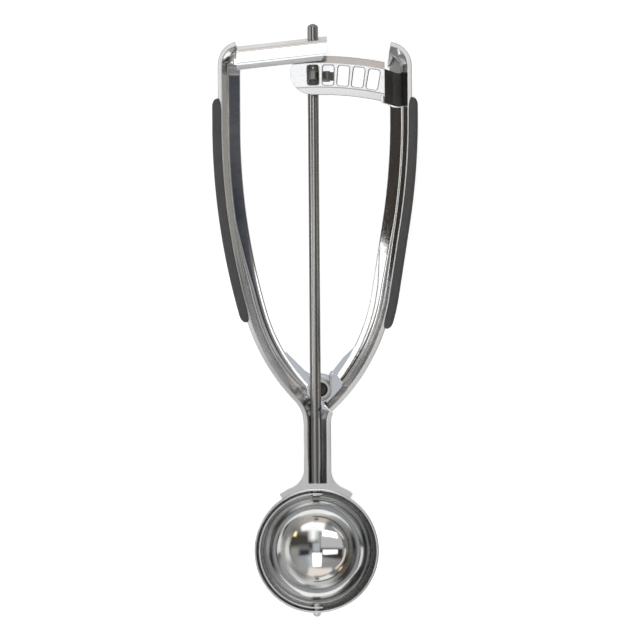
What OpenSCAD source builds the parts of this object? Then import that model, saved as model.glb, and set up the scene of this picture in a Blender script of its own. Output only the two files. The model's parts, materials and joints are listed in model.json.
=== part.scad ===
// Lever ice cream scoop: bowl, fixed arm, squeezed arm, slotted rack, spindle and scraper blade.
// Built along the spindle: its axis is Y, the bowl's centre is the origin, Z is out of the bowl.
// At the end the whole scoop is laid on a table, on the bowl and on the backs of both arms.

/* [Bowl] */
// Outside diameter of the bowl
bowl_d = 47.7; // [44:0.1:52]
// Wall of the bowl
bowl_t = 0.9; // [0.6:0.1:1.2]
// Height of the straight band above the bowl's centre
band_h = 3.5; // [3:0.5:6]

/* [Arms] */
// Thickness of the side walls of the arms
side_t = 1.8; // [1.2:0.1:2.2]
// Thickness of the back walls of the arms
back_t = 1.4; // [1:0.1:1.8]
// Width of an arm's back wall, from its outer face
trough_w = 8.2; // [7.4:0.1:9]
// Radius between side wall and back wall, outside
corner_r = 4; // [3:0.5:5]
// Back of the arms behind the spindle
back_depth = 9; // [8.6:0.2:11]
// Front lip of the arms before the spindle
lip_height = 8.5; // [7:0.5:10]
// Top of the arms above the bowl's centre
arm_top = 195; // [188:1:205]
// Half width of the left arm at the top
left_half = 36.4; // [34:0.2:40]
// Half width of the right arm at the top
right_half = 37.7; // [35:0.2:41]
// Round at the top of an arm
shoulder_r = 9.1; // [8.6:0.1:10]
// Height of the upper bend of the left arm
left_bend_y = 125.6; // [118:0.2:135]
// Height of the upper bend of the right arm
right_bend_y = 145.7; // [138:0.2:152]
// Radius of the upper bends
upper_bend_r = 265; // [220:5:300]
// Half width at the lower bend of the left arm
left_low = 21.6; // [19:0.2:24]
// Half width at the lower bend of the right arm
right_low = 25.9; // [23:0.2:28]
// Height of the lower bends above the pivot
low_bend_rise = 11; // [8:0.2:15]
// Radius of the lower bends
lower_bend_r = 77; // [60:1:85]

/* [Neck] */
// Left face of the neck, left of the spindle's axis
neck_left = 4.7; // [4.4:0.1:6]
// Right face of the neck, right of the spindle's axis
neck_right = 5.9; // [5.4:0.1:7]
// Distance from the pivot down to the top of the neck's right wall
neck_drop = 9; // [8.8:0.1:10]
// Round where the left arm runs into the neck
neck_bend_r = 12; // [8:1:14]
// Thickness of the neck's end wall
end_wall_t = 1.9; // [1.6:0.1:2.4]
// Radial width of the saddle on the bowl
saddle_w = 2; // [1.2:0.1:2.2]
// Half angle that the saddle covers
saddle_half_angle = 33; // [28:1:38]
// Radius of the flare between neck and saddle
flare_r = 7.5; // [5:0.5:8]

/* [Pivot] */
// Place of the pivot to the right of the spindle's axis
pivot_x = 1.9; // [1.5:0.1:2.3]
// Height of the pivot above the bowl's centre
pivot_y = 61.6; // [61.2:0.1:62.4]
// Outer radius of the semi-tubular rivet
rivet_r = 3.2; // [3:0.1:3.2]
// Wall of the rivet's hollow end
rivet_wall = 0.6; // [0.4:0.1:0.9]
// Radius of the rivet's rolled front rim
rim_r = 3.7; // [3.5:0.1:3.7]
// Radius of the rivet's back head
head_r = 4.4; // [4:0.1:5]
// Radius of the frame's pivot ear
ear_r = 6.3; // [5.8:0.1:6.4]
// Thickness of the pivot washers
washer_t = 0.5; // [0.3:0.1:0.6]
// Wire of the return spring
wire_d = 1; // [0.7:0.1:1]
// Mean radius of the return spring's coil
coil_r = 3.85; // [3.85:0.05:4.1]
// How far the spring's legs reach up from the pivot
leg_l = 4.6; // [4.4:0.1:4.8]

/* [Spindle and rack] */
// Diameter of the spindle
spindle_d = 4.2; // [3.6:0.1:4.6]
// How far the spindle's tip stands above the top of the arms
spindle_over = 7; // [5:0.5:10]
// Distance from the top of the arms down to the middle of the toothed wheel
wheel_drop = 13.3; // [12.8:0.1:16]
// Number of teeth that a full wheel would have
full_teeth = 8; // [7:1:9]
// Teeth left on the wheel, one for each slot of the rack
tooth_count = 5; // [3:1:5]
// Face width of the wheel's teeth
tooth_w = 3.2; // [2.6:0.1:4]
// Angle from one slot to the next
slot_step = 2.75; // [2.7:0.01:2.8]
// Width of a slot along the rack
slot_w = 4.1; // [3.9:0.1:4.4]
// Length of a slot across the rack
slot_l = 7.45; // [6.4:0.05:8]
// Height of the rack from its lower to its upper edge
rack_h = 14.9; // [14:0.1:15.4]
// Thickness of the rack and of the guide
plate_t = 1.2; // [1:0.1:1.3]
// Height of the rack's end wall, which is welded to the arm
rack_wall_h = 13; // [10:0.5:14]
// Distance from the wheel's middle down to the foot of that wall
rack_wall_drop = 10.8; // [9:0.2:12]

/* [Guide] */
// Right end of the guide, right of the spindle's axis
guide_right = 5.4; // [5:0.1:5.6]
// Front face of the guide before the spindle
guide_front = 10.6; // [10.4:0.1:12]
// Height of the guide from lower to upper edge
guide_h = 10.9; // [10.4:0.1:11.4]
// Slope of the guide, up to the right
guide_slope = 6; // [5:0.1:6.4]

/* [Blade] */
// Thickness of the scraper blade
blade_t = 0.55; // [0.4:0.05:0.7]
// Width of the scraper blade
blade_w = 6.6; // [5:0.2:6.8]
// Gap between blade and bowl
blade_gap = 0.65; // [0.4:0.05:1]

/* [Grips] */
// Thickness of the pads on the arms' outer faces
grip_t = 2.15; // [1.6:0.05:2.8]
// Thickness of the pads behind and before the arms
grip_wrap_t = 1.3; // [0.8:0.1:1.4]
// How far a pad reaches over an arm's front lip
grip_hook = 1.4; // [0.8:0.1:1.6]
// Lower end of the left pad
left_grip_low = 87.7; // [86:0.2:92]
// Lower end of the right pad
right_grip_low = 84.9; // [84:0.2:92]
// Distance from the top of the arms down to the pads
grip_drop = 22; // [19:0.5:30]

/* [Fits] */
// Radial clearance of turning shafts and pins
running = 0.05; // [0.03:0.01:0.1]
// Clearance between plates that turn over each other
plate_gap = 0.05; // [0.05:0.01:0.15]
// Gap between the pads and the arms
pad_gap = 0.03; // [0.02:0.01:0.1]

/* [Hidden] */
$fn = 96;
LARGE_ARC_FN = 720;
BIG = 400;
EPS = 0.01;

STEEL = [0.80, 0.80, 0.79];
DULL_STEEL = [0.62, 0.62, 0.61];
DARK_STEEL = [0.36, 0.35, 0.33];
SPRING_STEEL = [0.55, 0.54, 0.52];
RUBBER = [0.16, 0.165, 0.17];

bowl_r = bowl_d / 2;
bowl_in_r = bowl_r - bowl_t;
blade_out_r = bowl_in_r - blade_gap;
blade_in_r = blade_out_r - blade_t;
spindle_r = spindle_d / 2;
guide_hole_r = spindle_r + running;
saddle_r = bowl_r + saddle_w;
back_z = -back_depth;
pivot = [pivot_x, pivot_y];
neck_top = pivot_y - neck_drop;
low_bend_y = pivot_y + low_bend_rise;
spindle_tip = arm_top + spindle_over;
wheel_y = arm_top - wheel_drop;
grip_high = arm_top - grip_drop;

// Levels at the pivot, from the back: frame ear, lever plate, washer, spring, rivet rim
lever_plate_z = back_z + back_t + plate_gap;
lever_plate_top = lever_plate_z + back_t;
front_washer_z = lever_plate_top + plate_gap;
spring_z = front_washer_z + washer_t + plate_gap;
coil_pitch = wire_d + 0.05;
leg_hole = [pivot_x - coil_r, pivot_y + leg_l];
leg_hole_r = wire_d / 2 + 0.05;
lever_disc_r = 5.2;
rivet_front_z = -spindle_r - 0.2;
rivet_back_z = back_z - 2 * washer_t;

// Sweep of the lever's step round the frame's ear
step_in_r = ear_r + 0.7;
step_out_r = step_in_r + back_t;
lever_low_y = neck_top + 0.45;
lever_sector = [-65, 60];

// Rack, engaged at its middle thickness on the wheel's pitch circle
rack_r = norm([pivot_x, wheel_y - pivot_y]);
slot_pitch = rack_r * slot_step * PI / 180;
wheel_pitch_r = slot_pitch * full_teeth / 360 * 180 / PI;
wheel_out_r = wheel_pitch_r + 1.2;
hub_r = 3.6;
hub_over = 1.6;
pin_r = 0.6;
rack_back_z = wheel_pitch_r - plate_t / 2;
rack_front_z = rack_back_z + plate_t;
rack_in_r = rack_r - rack_h / 2;
rack_out_r = rack_in_r + rack_h;
rack_fold = 2.7;
rack_fold_depth = 1.6;
first_slot_angle = 90 + asin(pivot_x / rack_r);
rack_left_angle = first_slot_angle + 4.2;
slot_count = tooth_count;
rack_wall_top_x = right_half - trough_w - 3.4;
rack_wall_low_x = right_half - trough_w + 0.1;
rack_end_x = rack_wall_top_x + plate_t;
rack_left_round = 8;
rack_round_rise = 0.8;

guide_left = left_half - trough_w + 0.9;
guide_foot_y = arm_top - 3.5 - guide_h / 2 - guide_left * sin(guide_slope);
guide_lip_z = rack_front_z + 0.6;
guide_back = 4;
guide_face_low = 2.9;
guide_face_high = guide_h - 2.7;
guide_wall_low = 3.9;
guide_foot_w = 2.6;

tang_r = 1.4;
drive_washer_r = 1.9;
drive_washer_t = 0.75;
blade_rivet_r = 1.2;
blade_head_r = 1.7;
blade_head_h = 1.7;
blade_nub_r = 1.5;
blade_nub_h = 1.35;
tip_half = 0.8;

// The scoop lies on the bowl and on the top ends of both arms
rest_y = arm_top - corner_r;
rest_z = back_z + corner_r;
lean = atan2(rest_z, rest_y) + asin((bowl_r - corner_r) / norm([rest_y, rest_z]));
mid_length = (spindle_tip - bowl_r - blade_head_h) / 2 * cos(lean);

// Outer faces of the arms below the shoulders: x, y and the round at that corner
lever_end_x = neck_right + 0.3;
left_path = [[-left_half, arm_top - shoulder_r, 0], [-left_half, left_bend_y, upper_bend_r],
             [-left_low, low_bend_y, lower_bend_r], [-neck_left, neck_top + 1.1, neck_bend_r],
             [-neck_left, bowl_r, 0]];
right_top = arm_top - 0.8;
lever_end = [-lever_end_x, lever_low_y];
lever_end_heading = heading([-right_low, low_bend_y - 0.7], lever_end);
right_path = [[-right_half, right_top - shoulder_r, 0], [-right_half, right_bend_y, upper_bend_r],
              [-right_low, low_bend_y - 0.7, lower_bend_r],
              concat(at(lever_end, lever_end_heading, trough_w), [0])];
neck_path = [[-neck_right - 0.8, neck_top, 0], [-neck_right, neck_top - 2.4, 4], [-neck_right, bowl_r, 0]];

function heading(p, q) = atan2(q[1] - p[1], q[0] - p[0]);
function wrapped(a) = a > 180 ? a - 360 : a < -180 ? a + 360 : a;
function is_end(path, i) = i == 0 || i == len(path) - 1;
function turn_at(path, i) = wrapped(heading(path[i], path[i + 1]) - heading(path[i - 1], path[i]));
function trim_at(path, i) = is_end(path, i) ? 0 : path[i][2] * abs(tan(turn_at(path, i) / 2));
function at(p, angle, r) = [p[0] + r * cos(angle), p[1] + r * sin(angle)];

// Places along a path, each as x, y and heading; a round corner gets one every few degrees
function corner_places(path, i) =
    let(h = heading(path[i - 1], path[i]), turn = turn_at(path, i), r = path[i][2],
        side = sign(turn), start = at(path[i], h, -trim_at(path, i)),
        centre = at(start, h + 90 * side, r), n = max(3, ceil(abs(turn) * sqrt(r) / 40)))
    [for (k = [0 : n]) let(a = h + turn * k / n) [for (v = at(centre, a - 90 * side, r)) v, a]];
function places(path) = concat(
    [[path[0][0], path[0][1], heading(path[0], path[1])]],
    [for (i = [1 : 1 : len(path) - 2]) each corner_places(path, i)],
    [let(end = path[len(path) - 1]) [end[0], end[1], heading(path[len(path) - 2], end)]]);
function shoulder_places(half, top, tip) =
    let(from = 90 + asin((tip - half + shoulder_r) / shoulder_r), n = 7)
    [for (k = [0 : n - 1]) let(a = from + (180 - from) * k / n)
        [for (v = at([-half + shoulder_r, top - shoulder_r], a, shoulder_r)) v, a + 90]];
left_places = concat(shoulder_places(left_half, arm_top, guide_left + 0.4), places(left_path));
right_places = concat(shoulder_places(right_half, right_top, right_half - trough_w + 0.2),
                      places(right_path));

// A folded strip swept along places. Each section is two chains of points, outer and inner, as
// distances to the left of the path and heights; both chains have the same length.
function placed(place, p) = [place[0] - p[0] * sin(place[2]), place[1] + p[0] * cos(place[2]), p[1]];
module strip(places, sections) {
    n = len(sections[0][0]);
    m = 2 * n;
    last = len(places) - 1;
    points = [for (k = [0 : last]) each concat(
        [for (p = sections[k][0]) placed(places[k], p)],
        [for (j = [n - 1 : -1 : 0]) placed(places[k], sections[k][1][j])])];
    faces = concat(
        [for (j = [0 : n - 2]) [j, j + 1, m - 2 - j, m - 1 - j]],
        [for (k = [0 : last - 1], j = [0 : m - 1]) let(j2 = (j + 1) % m)
            each [[k * m + j, (k + 1) * m + j, (k + 1) * m + j2], [k * m + j, (k + 1) * m + j2, k * m + j2]]],
        [for (j = [0 : n - 2]) let(o = last * m) [o + m - 1 - j, o + m - 2 - j, o + j + 1, o + j]]);
    polyhedron(points, faces);
}

// Quarter round from the side to the back, as points
function quarter(cx, cz, rx, rz) = [for (k = [1 : 4]) [cx - rx * cos(90 * k / 5), cz - rz * sin(90 * k / 5)]];

// Front lip of the arms, which drops to the neck
function lip(y) = let(low_y = 38, high_y = 80, t = min(1, max(0, (y - low_y) / (high_y - low_y))))
    band_h + (lip_height - band_h) * (1 - cos(180 * t)) / 2;

// Side wall and back wall of an arm, with the round between them
function trough(y) = let(c = back_z + corner_r) [
    concat([[0, lip(y)], [0, c]], quarter(corner_r, c, corner_r, corner_r),
           [[corner_r, back_z], [trough_w, back_z]]),
    concat([[side_t, lip(y)], [side_t, c]], quarter(corner_r, c, corner_r - side_t, corner_r - back_t),
           [[corner_r, back_z + back_t], [trough_w, back_z + back_t]])];
module trough_sweep(places) {
    strip(places, [for (p = places) trough(p[1])]);
}

// Pad over the side of an arm, hooked over its front lip and round its back corner
function pad_section(full) =
    let(g = pad_gap, c = back_z + corner_r, edge = 1.2, t = grip_t, front = lip_height + grip_wrap_t,
        back = back_z - grip_wrap_t, r = corner_r + grip_wrap_t, reach = corner_r + 1,
        inner = concat([[grip_hook, lip_height + g], [-g, lip_height + g], [-g, lip_height - edge], [-g, c]],
                       quarter(corner_r, c, corner_r + g, corner_r + g),
                       [[corner_r, back_z - g], [reach, back_z - g]]),
        outer = concat([[grip_hook, front], [-t + edge, front], [-t, front - edge], [-t, back + r]],
                       quarter(-t + r, back + r, r, r), [[-t + r, back], [reach, back]]))
    [[for (j = [0 : len(inner) - 1]) inner[j] + (outer[j] - inner[j]) * full], inner];

// The bowl's outline as a solid: half sphere with a straight band on it
module bowl_form(r, high) {
    rotate_extrude() {
        intersection() {
            circle(r);
            translate([0, -r]) square([r, r]);
        }
        square([r, high]);
    }
}

module along_y(y, h, r) {
    translate([0, y, 0]) rotate([-90, 0, 0]) cylinder(r = r, h = h);
}

module bore_y(y, h, r) {
    along_y(y - EPS, h + 2 * EPS, r);
}

module saddle() {
    flare_y = sqrt(pow(saddle_r + flare_r, 2) - pow(neck_left + flare_r, 2));
    intersection() {
        difference() {
            bowl_form(saddle_r, band_h);
            bowl_form(bowl_r, BIG);
        }
        translate([0, 0, back_z]) linear_extrude(BIG)
            polygon([[0, 0], at([0, 0], 90 - saddle_half_angle, 2 * saddle_r),
                     at([0, 0], 90 + saddle_half_angle, 2 * saddle_r)]);
    }
    for (side = [-1, 1]) {
        half = side < 0 ? neck_left : neck_right;
        difference() {
            translate([side < 0 ? -half - flare_r : half - side_t, saddle_r - flare_r, back_z + corner_r])
                cube([flare_r + side_t, flare_y - saddle_r + flare_r, band_h - back_z - corner_r]);
            translate([side * (half + flare_r), flare_y, back_z]) cylinder(r = flare_r, h = BIG);
            bowl_form(bowl_r, BIG);
            translate([0, 0, back_z]) linear_extrude(BIG)
                polygon([[side * (half + flare_r), 0], [side * (half + flare_r), flare_y],
                         [side * BIG, flare_y], [side * BIG, 0]]);
        }
    }
}

// Web between the left arm, the neck and the pivot
module frame_web() {
    translate([0, 0, back_z]) linear_extrude(back_t) {
        polygon([at(pivot, 132, 20), at(pivot, 129, 9.6), at(pivot, 123, 7), at(pivot, 100, ear_r - 1),
                 pivot, at(pivot, -79, ear_r), at(pivot, -66.5, 9.3),
                 [neck_right - side_t, neck_top - 6], [-neck_left + side_t, neck_top - 6],
                 at(pivot, 190, 9), at(pivot, 150, 16)]);
        translate(pivot) circle(ear_r);
    }
}

module main_frame() {
    color(STEEL) difference() {
        union() {
            trough_sweep(left_places);
            mirror([1, 0, 0]) trough_sweep(places(neck_path));
            translate([-neck_left + side_t / 2, bowl_r, back_z + back_t / 2])
                cube([neck_left + neck_right - side_t, end_wall_t, band_h - back_z - back_t / 2]);
            saddle();
            frame_web();
        }
        bowl_form(bowl_r, BIG);
        translate([pivot_x, pivot_y, back_z - 1]) cylinder(r = rivet_r, h = back_t + 2);
        bore_y(bowl_r - 1, end_wall_t + 2, guide_hole_r);
        translate([leg_hole[0], leg_hole[1], back_z - 1]) cylinder(r = leg_hole_r, h = back_t + 2);
    }
}

module bowl() {
    color(STEEL) difference() {
        bowl_form(bowl_r, band_h);
        bowl_form(bowl_in_r, BIG);
        bore_y(bowl_in_r - 2, bowl_t + 4, guide_hole_r);
        bore_y(-bowl_r - 2, bowl_t + 4, blade_rivet_r);
    }
}

// Strap folded from sheet: short front lip, face, and a deep top flange with the spindle's hole
module guide_section() {
    polygon([[0, guide_lip_z], [guide_face_low, guide_front], [guide_face_high, guide_front],
             [guide_h, -guide_back], [guide_h - plate_t, -guide_back],
             [guide_face_high - plate_t + 0.1, guide_front - plate_t],
             [guide_face_low + 0.45, guide_front - plate_t], [plate_t * 1.2, guide_lip_z]]);
}

// End wall that closes the upper part of that section down to the arm's back wall
module guide_wall() {
    polygon([[guide_wall_low, back_z + back_t], [guide_wall_low, guide_front],
             [guide_face_high, guide_front], [guide_h, -guide_back], [guide_h, back_z + corner_r + 0.2],
             [guide_wall_low + guide_foot_w, back_z + corner_r + 0.2],
             [guide_wall_low + guide_foot_w, back_z + back_t]]);
}

module guide_along(length) {
    past_end = 2;
    translate([-guide_left, guide_foot_y, 0]) rotate([0, 0, guide_slope]) translate([-past_end, 0, 0])
        rotate([90, 0, 90]) linear_extrude(length + past_end) children();
}

module rod_guide() {
    foot_l = 2.6;
    end_round = 9;
    color(STEEL) difference() {
        union() {
            difference() {
                guide_along((guide_left + guide_right) / cos(guide_slope)) guide_section();
                translate([-guide_left - BIG, 0, -BIG / 2]) cube([BIG, BIG, BIG]);
            }
            intersection() {
                translate([-guide_left, 0, -BIG / 2]) cube([plate_t, BIG, BIG]);
                guide_along(2 * plate_t) guide_wall();
            }
            translate([-guide_left - foot_l + plate_t, guide_foot_y + guide_wall_low, back_z + back_t])
                cube([foot_l, guide_foot_w, plate_t]);
        }
        bore_y(guide_foot_y, BIG, guide_hole_r);
        translate([guide_right, 0, -BIG / 2]) cube([BIG, BIG, BIG]);
        translate([guide_right - end_round, guide_foot_y + 1, -BIG / 2]) difference() {
            cube([BIG, end_round, BIG]);
            translate([0, end_round, 0]) cylinder(r = end_round, h = BIG);
        }
    }
}

// Heights at which a pad's section is set, close together at its rounded ends
function pad_heights(low, high) =
    let(round_l = 3, ends = [0, 0.1, 0.35, 0.7, 1], n = 24)
    concat([for (e = ends) high - round_l * e],
           [for (k = [1 : n - 1]) high - round_l - (high - low - 2 * round_l) * k / n],
           [for (j = [len(ends) - 1 : -1 : 0]) low + round_l * ends[j]]);
function pad_fullness(y, low, high) =
    let(round_l = 3, d = min(1, min(y - low, high - y) / round_l)) 0.25 + 0.75 * sqrt(1 - pow(1 - d, 2));

module pad(arm_places, low) {
    xs = [for (p = arm_places) if (p[1] < arm_top - shoulder_r + 1) [p[1], p[0]]];
    hs = [for (p = arm_places) if (p[1] < arm_top - shoulder_r + 1) [p[1], p[2]]];
    heights = pad_heights(low, grip_high);
    strip([for (y = heights) [lookup(y, xs), y, lookup(y, hs)]],
          [for (y = heights) pad_section(pad_fullness(y, low, grip_high))]);
}

module left_grip() {
    color(RUBBER) pad(left_places, left_grip_low);
}

module right_grip() {
    color(RUBBER) mirror([1, 0, 0]) pad(right_places, right_grip_low);
}

module pivot_rivet() {
    in_r = rivet_r - rivet_wall;
    head_h = 0.5;
    rim_h = 0.5;
    bore_floor = 0.6;
    color(STEEL) translate([pivot_x, pivot_y, 0]) rotate_extrude()
        polygon([[0, rivet_back_z - head_h], [head_r, rivet_back_z - head_h], [head_r, rivet_back_z],
                 [rivet_r, rivet_back_z], [rivet_r, rivet_front_z - 2 * rim_h],
                 [rim_r, rivet_front_z - rim_h], [rim_r, rivet_front_z], [in_r, rivet_front_z],
                 [in_r, rivet_back_z + bore_floor], [0, rivet_back_z + bore_floor]]);
}

module washer(r_in, r_out, z) {
    translate([pivot_x, pivot_y, z]) difference() {
        cylinder(r = r_out, h = washer_t);
        translate([0, 0, -1]) cylinder(r = r_in, h = washer_t + 2);
    }
}

module front_pivot_washer() {
    color(DULL_STEEL) washer(rivet_r, coil_r + wire_d / 2 + 0.2, front_washer_z);
}

// Two plain washers' thickness behind the ear, so that the head bears flat
module back_pivot_washer() {
    color(DULL_STEEL) translate([pivot_x, pivot_y, rivet_back_z]) difference() {
        cylinder(r = head_r + 0.7, h = 2 * washer_t);
        translate([0, 0, -1]) cylinder(r = rivet_r, h = 2 * washer_t + 2);
    }
}

// Coil of a turn and a half. Its left leg drops through the hole in the frame's ear, its right leg
// bears on the lever's tab. A ring is a centre, its direction out of the coil and its tilt.
module return_spring() {
    sides = 8;
    per_turn = 20;
    turned = 540;
    bend_r = 1;
    n = per_turn * turned / 360;
    z0 = spring_z + wire_d / 2;
    rise = coil_pitch * turned / 360;
    rings = concat(
        [[[leg_hole[0], leg_hole[1], back_z + 0.2], 180, 0]],
        [for (b = [0 : 30 : 90])
            [[leg_hole[0], leg_hole[1] - bend_r + bend_r * cos(b), z0 - bend_r + bend_r * sin(b)], 180, b]],
        [for (i = [0 : n])
            let(a = 180 + turned * i / n)
            [[pivot_x + coil_r * cos(a), pivot_y + coil_r * sin(a), z0 + rise * i / n], a, 90]],
        [[[pivot_x + coil_r, pivot_y + leg_l + 0.6, z0 + rise], 0, 90]]);
    points = [for (ring = rings, s = [0 : sides - 1])
        let(phi = 360 * s / sides, out = wire_d / 2 * cos(phi), up = wire_d / 2 * sin(phi))
        ring[0] + [out * cos(ring[1]), out * sin(ring[1]) + up * cos(ring[2]), up * sin(ring[2])]];
    last = len(rings) - 1;
    faces = concat(
        [[for (s = [0 : sides - 1]) s]],
        [for (k = [0 : last - 1], s = [0 : sides - 1])
            let(s2 = (s + 1) % sides, low = k * sides, high = low + sides)
            [low + s, high + s, high + s2, low + s2]],
        [[for (s = [sides - 1 : -1 : 0]) last * sides + s]]);
    color(SPRING_STEEL) polyhedron(points, faces);
}

// Domed head outside the bowl, shank through bowl and blade, small head inside
module blade_rivet() {
    head_z = bowl_r;
    dome_r = (pow(blade_head_r, 2) + pow(blade_head_h, 2)) / (2 * blade_head_h);
    nub_z = blade_in_r - 0.05;
    color(STEEL) rotate([90, 0, 0]) {
        translate([0, 0, nub_z - EPS]) cylinder(r = blade_rivet_r, h = head_z - nub_z + 2 * EPS);
        translate([0, 0, nub_z - blade_nub_h]) cylinder(r = blade_nub_r, h = blade_nub_h);
        translate([0, 0, head_z]) intersection() {
            translate([0, 0, blade_head_h - dome_r]) sphere(dome_r);
            cylinder(r = BIG, h = BIG);
        }
    }
}

module sector(r, from, to) {
    intersection() {
        translate(pivot) circle(r);
        polygon([pivot, at(pivot, from, 3 * r), at(pivot, (from + to) / 2, 3 * r), at(pivot, to, 3 * r)]);
    }
}

// Web between the arm and its step round the frame's ear
module lever_web() {
    translate([0, 0, back_z]) linear_extrude(back_t)
        polygon([at(pivot, 20, ear_r), at(pivot, lever_sector[1] - 4, step_out_r - 0.7), at(pivot, 54, 15),
                 at(pivot, 51, 21), at(pivot, 30, 18), at(pivot, 0, 12), at(pivot, -20, 9.6)]);
}

// The arm with its step up over the frame's ear, and the plate that turns on the rivet
module squeeze_lever() {
    tab_t = 1;
    tab_low = 3.4;
    color(STEEL) difference() {
        union() {
            difference() {
                union() {
                    mirror([1, 0, 0]) difference() {
                        trough_sweep(right_places);
                        translate([lever_end[0], lever_end[1], -BIG / 2]) rotate([0, 0, lever_end_heading])
                            translate([0, -BIG / 2, 0]) cube(BIG);
                    }
                    lever_web();
                    translate([0, 0, back_z]) linear_extrude(lever_plate_top - back_z)
                        sector(step_out_r, lever_sector[0], lever_sector[1]);
                }
                translate([pivot_x, pivot_y, back_z - 1]) cylinder(r = step_in_r, h = 1 + back_t + plate_gap);
            }
            translate([pivot_x, pivot_y, lever_plate_z]) cylinder(r = lever_disc_r, h = back_t);
            // Upright tab that the spring's right leg pushes against
            translate([pivot_x + coil_r + wire_d / 2, pivot_y + tab_low, lever_plate_z])
                cube([tab_t, leg_l + 1.4 - tab_low, spring_z + 2 * coil_pitch - lever_plate_z]);
        }
        translate([pivot_x, pivot_y, back_z - 1]) cylinder(r = rivet_r + running, h = BIG);
    }
}

// Section of the rack: lower fold, slotted face, upper fold
module rack_section() {
    z0 = rack_back_z - rack_fold_depth;
    z1 = rack_front_z - rack_fold_depth;
    polygon([[rack_in_r, z0], [rack_in_r + rack_fold, rack_back_z], [rack_out_r - rack_fold, rack_back_z],
             [rack_out_r, z0], [rack_out_r, z1], [rack_out_r - rack_fold, rack_front_z],
             [rack_in_r + rack_fold, rack_front_z], [rack_in_r, z1]]);
}

module slot(angle) {
    round_r = 0.8;
    rotate([0, 0, angle]) translate([rack_r, 0, rack_back_z - 1]) {
        translate([-slot_l / 2, -slot_w / 2 + round_r, 0]) cube([slot_l, slot_w - 2 * round_r, plate_t + 2]);
        translate([-slot_l / 2 + round_r, -slot_w / 2, 0]) cube([slot_l - 2 * round_r, slot_w, plate_t + 2]);
        for (x = [-1, 1], y = [-1, 1])
            translate([x * (slot_l / 2 - round_r), y * (slot_w / 2 - round_r), 0])
                cylinder(r = round_r, h = plate_t + 2, $fn = 32);
    }
}

// Corner block with a round taken out of it, to round a corner of the rack's left end
module rack_corner_cut(r, x, y, up) {
    translate([x, y, 0]) difference() {
        translate([-BIG, up > 0 ? 0 : -BIG, 0]) cube([BIG, BIG, BIG]);
        translate([0, 0, -1]) cylinder(r = r, h = BIG + 2);
    }
}

// The face ends square at its end wall, which slopes down to the arm and is welded there edge on
module gear_rack() {
    left_x = pivot_x + rack_r * cos(rack_left_angle);
    right_angle = acos((rack_end_x - pivot_x) / rack_in_r);
    low_y = wheel_y - rack_wall_drop;
    bend = 0.3;
    color(STEEL) difference() {
        union() {
            difference() {
                translate([pivot_x, pivot_y, 0]) rotate([0, 0, right_angle])
                    rotate_extrude(angle = rack_left_angle - right_angle, $fn = LARGE_ARC_FN) rack_section();
                translate([rack_end_x, 0, -BIG / 2]) cube(BIG);
            }
            translate([0, low_y, 0]) rotate([-90, 0, 0]) mirror([0, 1, 0]) linear_extrude(rack_wall_h)
                polygon([[rack_wall_top_x - bend, rack_back_z + bend],
                         [rack_wall_top_x - bend, rack_front_z - bend], [rack_end_x, rack_front_z - bend],
                         [rack_wall_low_x + plate_t, back_z + back_t],
                         [rack_wall_low_x, back_z + back_t], [rack_wall_top_x, rack_back_z + bend]]);
        }
        translate([pivot_x, pivot_y, 0])
            for (i = [0 : slot_count - 1]) slot(first_slot_angle - i * slot_step);
        rack_corner_cut(rack_left_round, left_x + rack_left_round, wheel_y + rack_round_rise, -1);
        rack_corner_cut(rack_left_round - 2, left_x + rack_left_round - 2, wheel_y + rack_round_rise, 1);
    }
}

module spindle() {
    tip_round = 1.6;
    tang_foot = blade_in_r - drive_washer_t - 0.1;
    color(STEEL) difference() {
        union() {
            along_y(blade_out_r, spindle_tip - tip_round - blade_out_r, spindle_r);
            translate([0, spindle_tip - tip_round, 0]) rotate([-90, 0, 0])
                cylinder(r1 = spindle_r, r2 = spindle_r * 0.45, h = tip_round);
            along_y(tang_foot, blade_out_r - tang_foot + EPS, tang_r);
        }
        translate([0, wheel_y + tooth_w / 2 + hub_over, -BIG / 2]) cylinder(r = pin_r, h = BIG);
    }
}

// Part wheel: a hub with teeth only where the rack's slots need them
module pinion() {
    hub_l = tooth_w + 4 * hub_over;
    root_half = 1.45;
    color(DARK_STEEL) difference() {
        union() {
            along_y(wheel_y - tooth_w / 2 - hub_over, hub_l, hub_r);
            translate([0, wheel_y + tooth_w / 2, 0]) rotate([90, 0, 0]) linear_extrude(tooth_w)
                for (i = [0 : tooth_count - 1]) rotate([0, 0, 90 - i * 360 / full_teeth])
                    polygon([[hub_r - 1, -root_half], [wheel_out_r - 2.4, -root_half],
                             [wheel_out_r, -tip_half], [wheel_out_r, tip_half],
                             [wheel_out_r - 2.4, root_half], [hub_r - 1, root_half]]);
        }
        bore_y(wheel_y - hub_l, 2 * hub_l, spindle_r);
        translate([0, wheel_y + tooth_w / 2 + hub_over, -BIG / 2]) cylinder(r = pin_r, h = BIG);
    }
}

module pinion_pin() {
    color(DULL_STEEL) translate([0, wheel_y + tooth_w / 2 + hub_over, -hub_r])
        cylinder(r = pin_r, h = 2 * hub_r);
}

// Spherical strip on the left half of the bowl, past the axis at both ends
module scraper_blade() {
    past_axis = 2.4;
    color(STEEL) difference() {
        intersection() {
            difference() {
                sphere(blade_out_r, $fn = 180);
                sphere(blade_in_r, $fn = 180);
            }
            translate([-BIG + past_axis, -BIG / 2, -blade_w / 2]) cube([BIG, BIG, blade_w]);
        }
        bore_y(0, BIG, tang_r);
        bore_y(-BIG, BIG, blade_rivet_r + running);
    }
}

module drive_washer() {
    face = sqrt(pow(blade_in_r, 2) - pow(drive_washer_r, 2)) - 0.01;
    color(STEEL) difference() {
        along_y(face - drive_washer_t, drive_washer_t, drive_washer_r);
        bore_y(blade_in_r - 3, 4, tang_r);
    }
}

// Lays the scoop on the table with the middle of its length at the origin
module laid() {
    translate([0, -mid_length, bowl_r]) rotate([-lean, 0, 0]) children();
}

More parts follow.
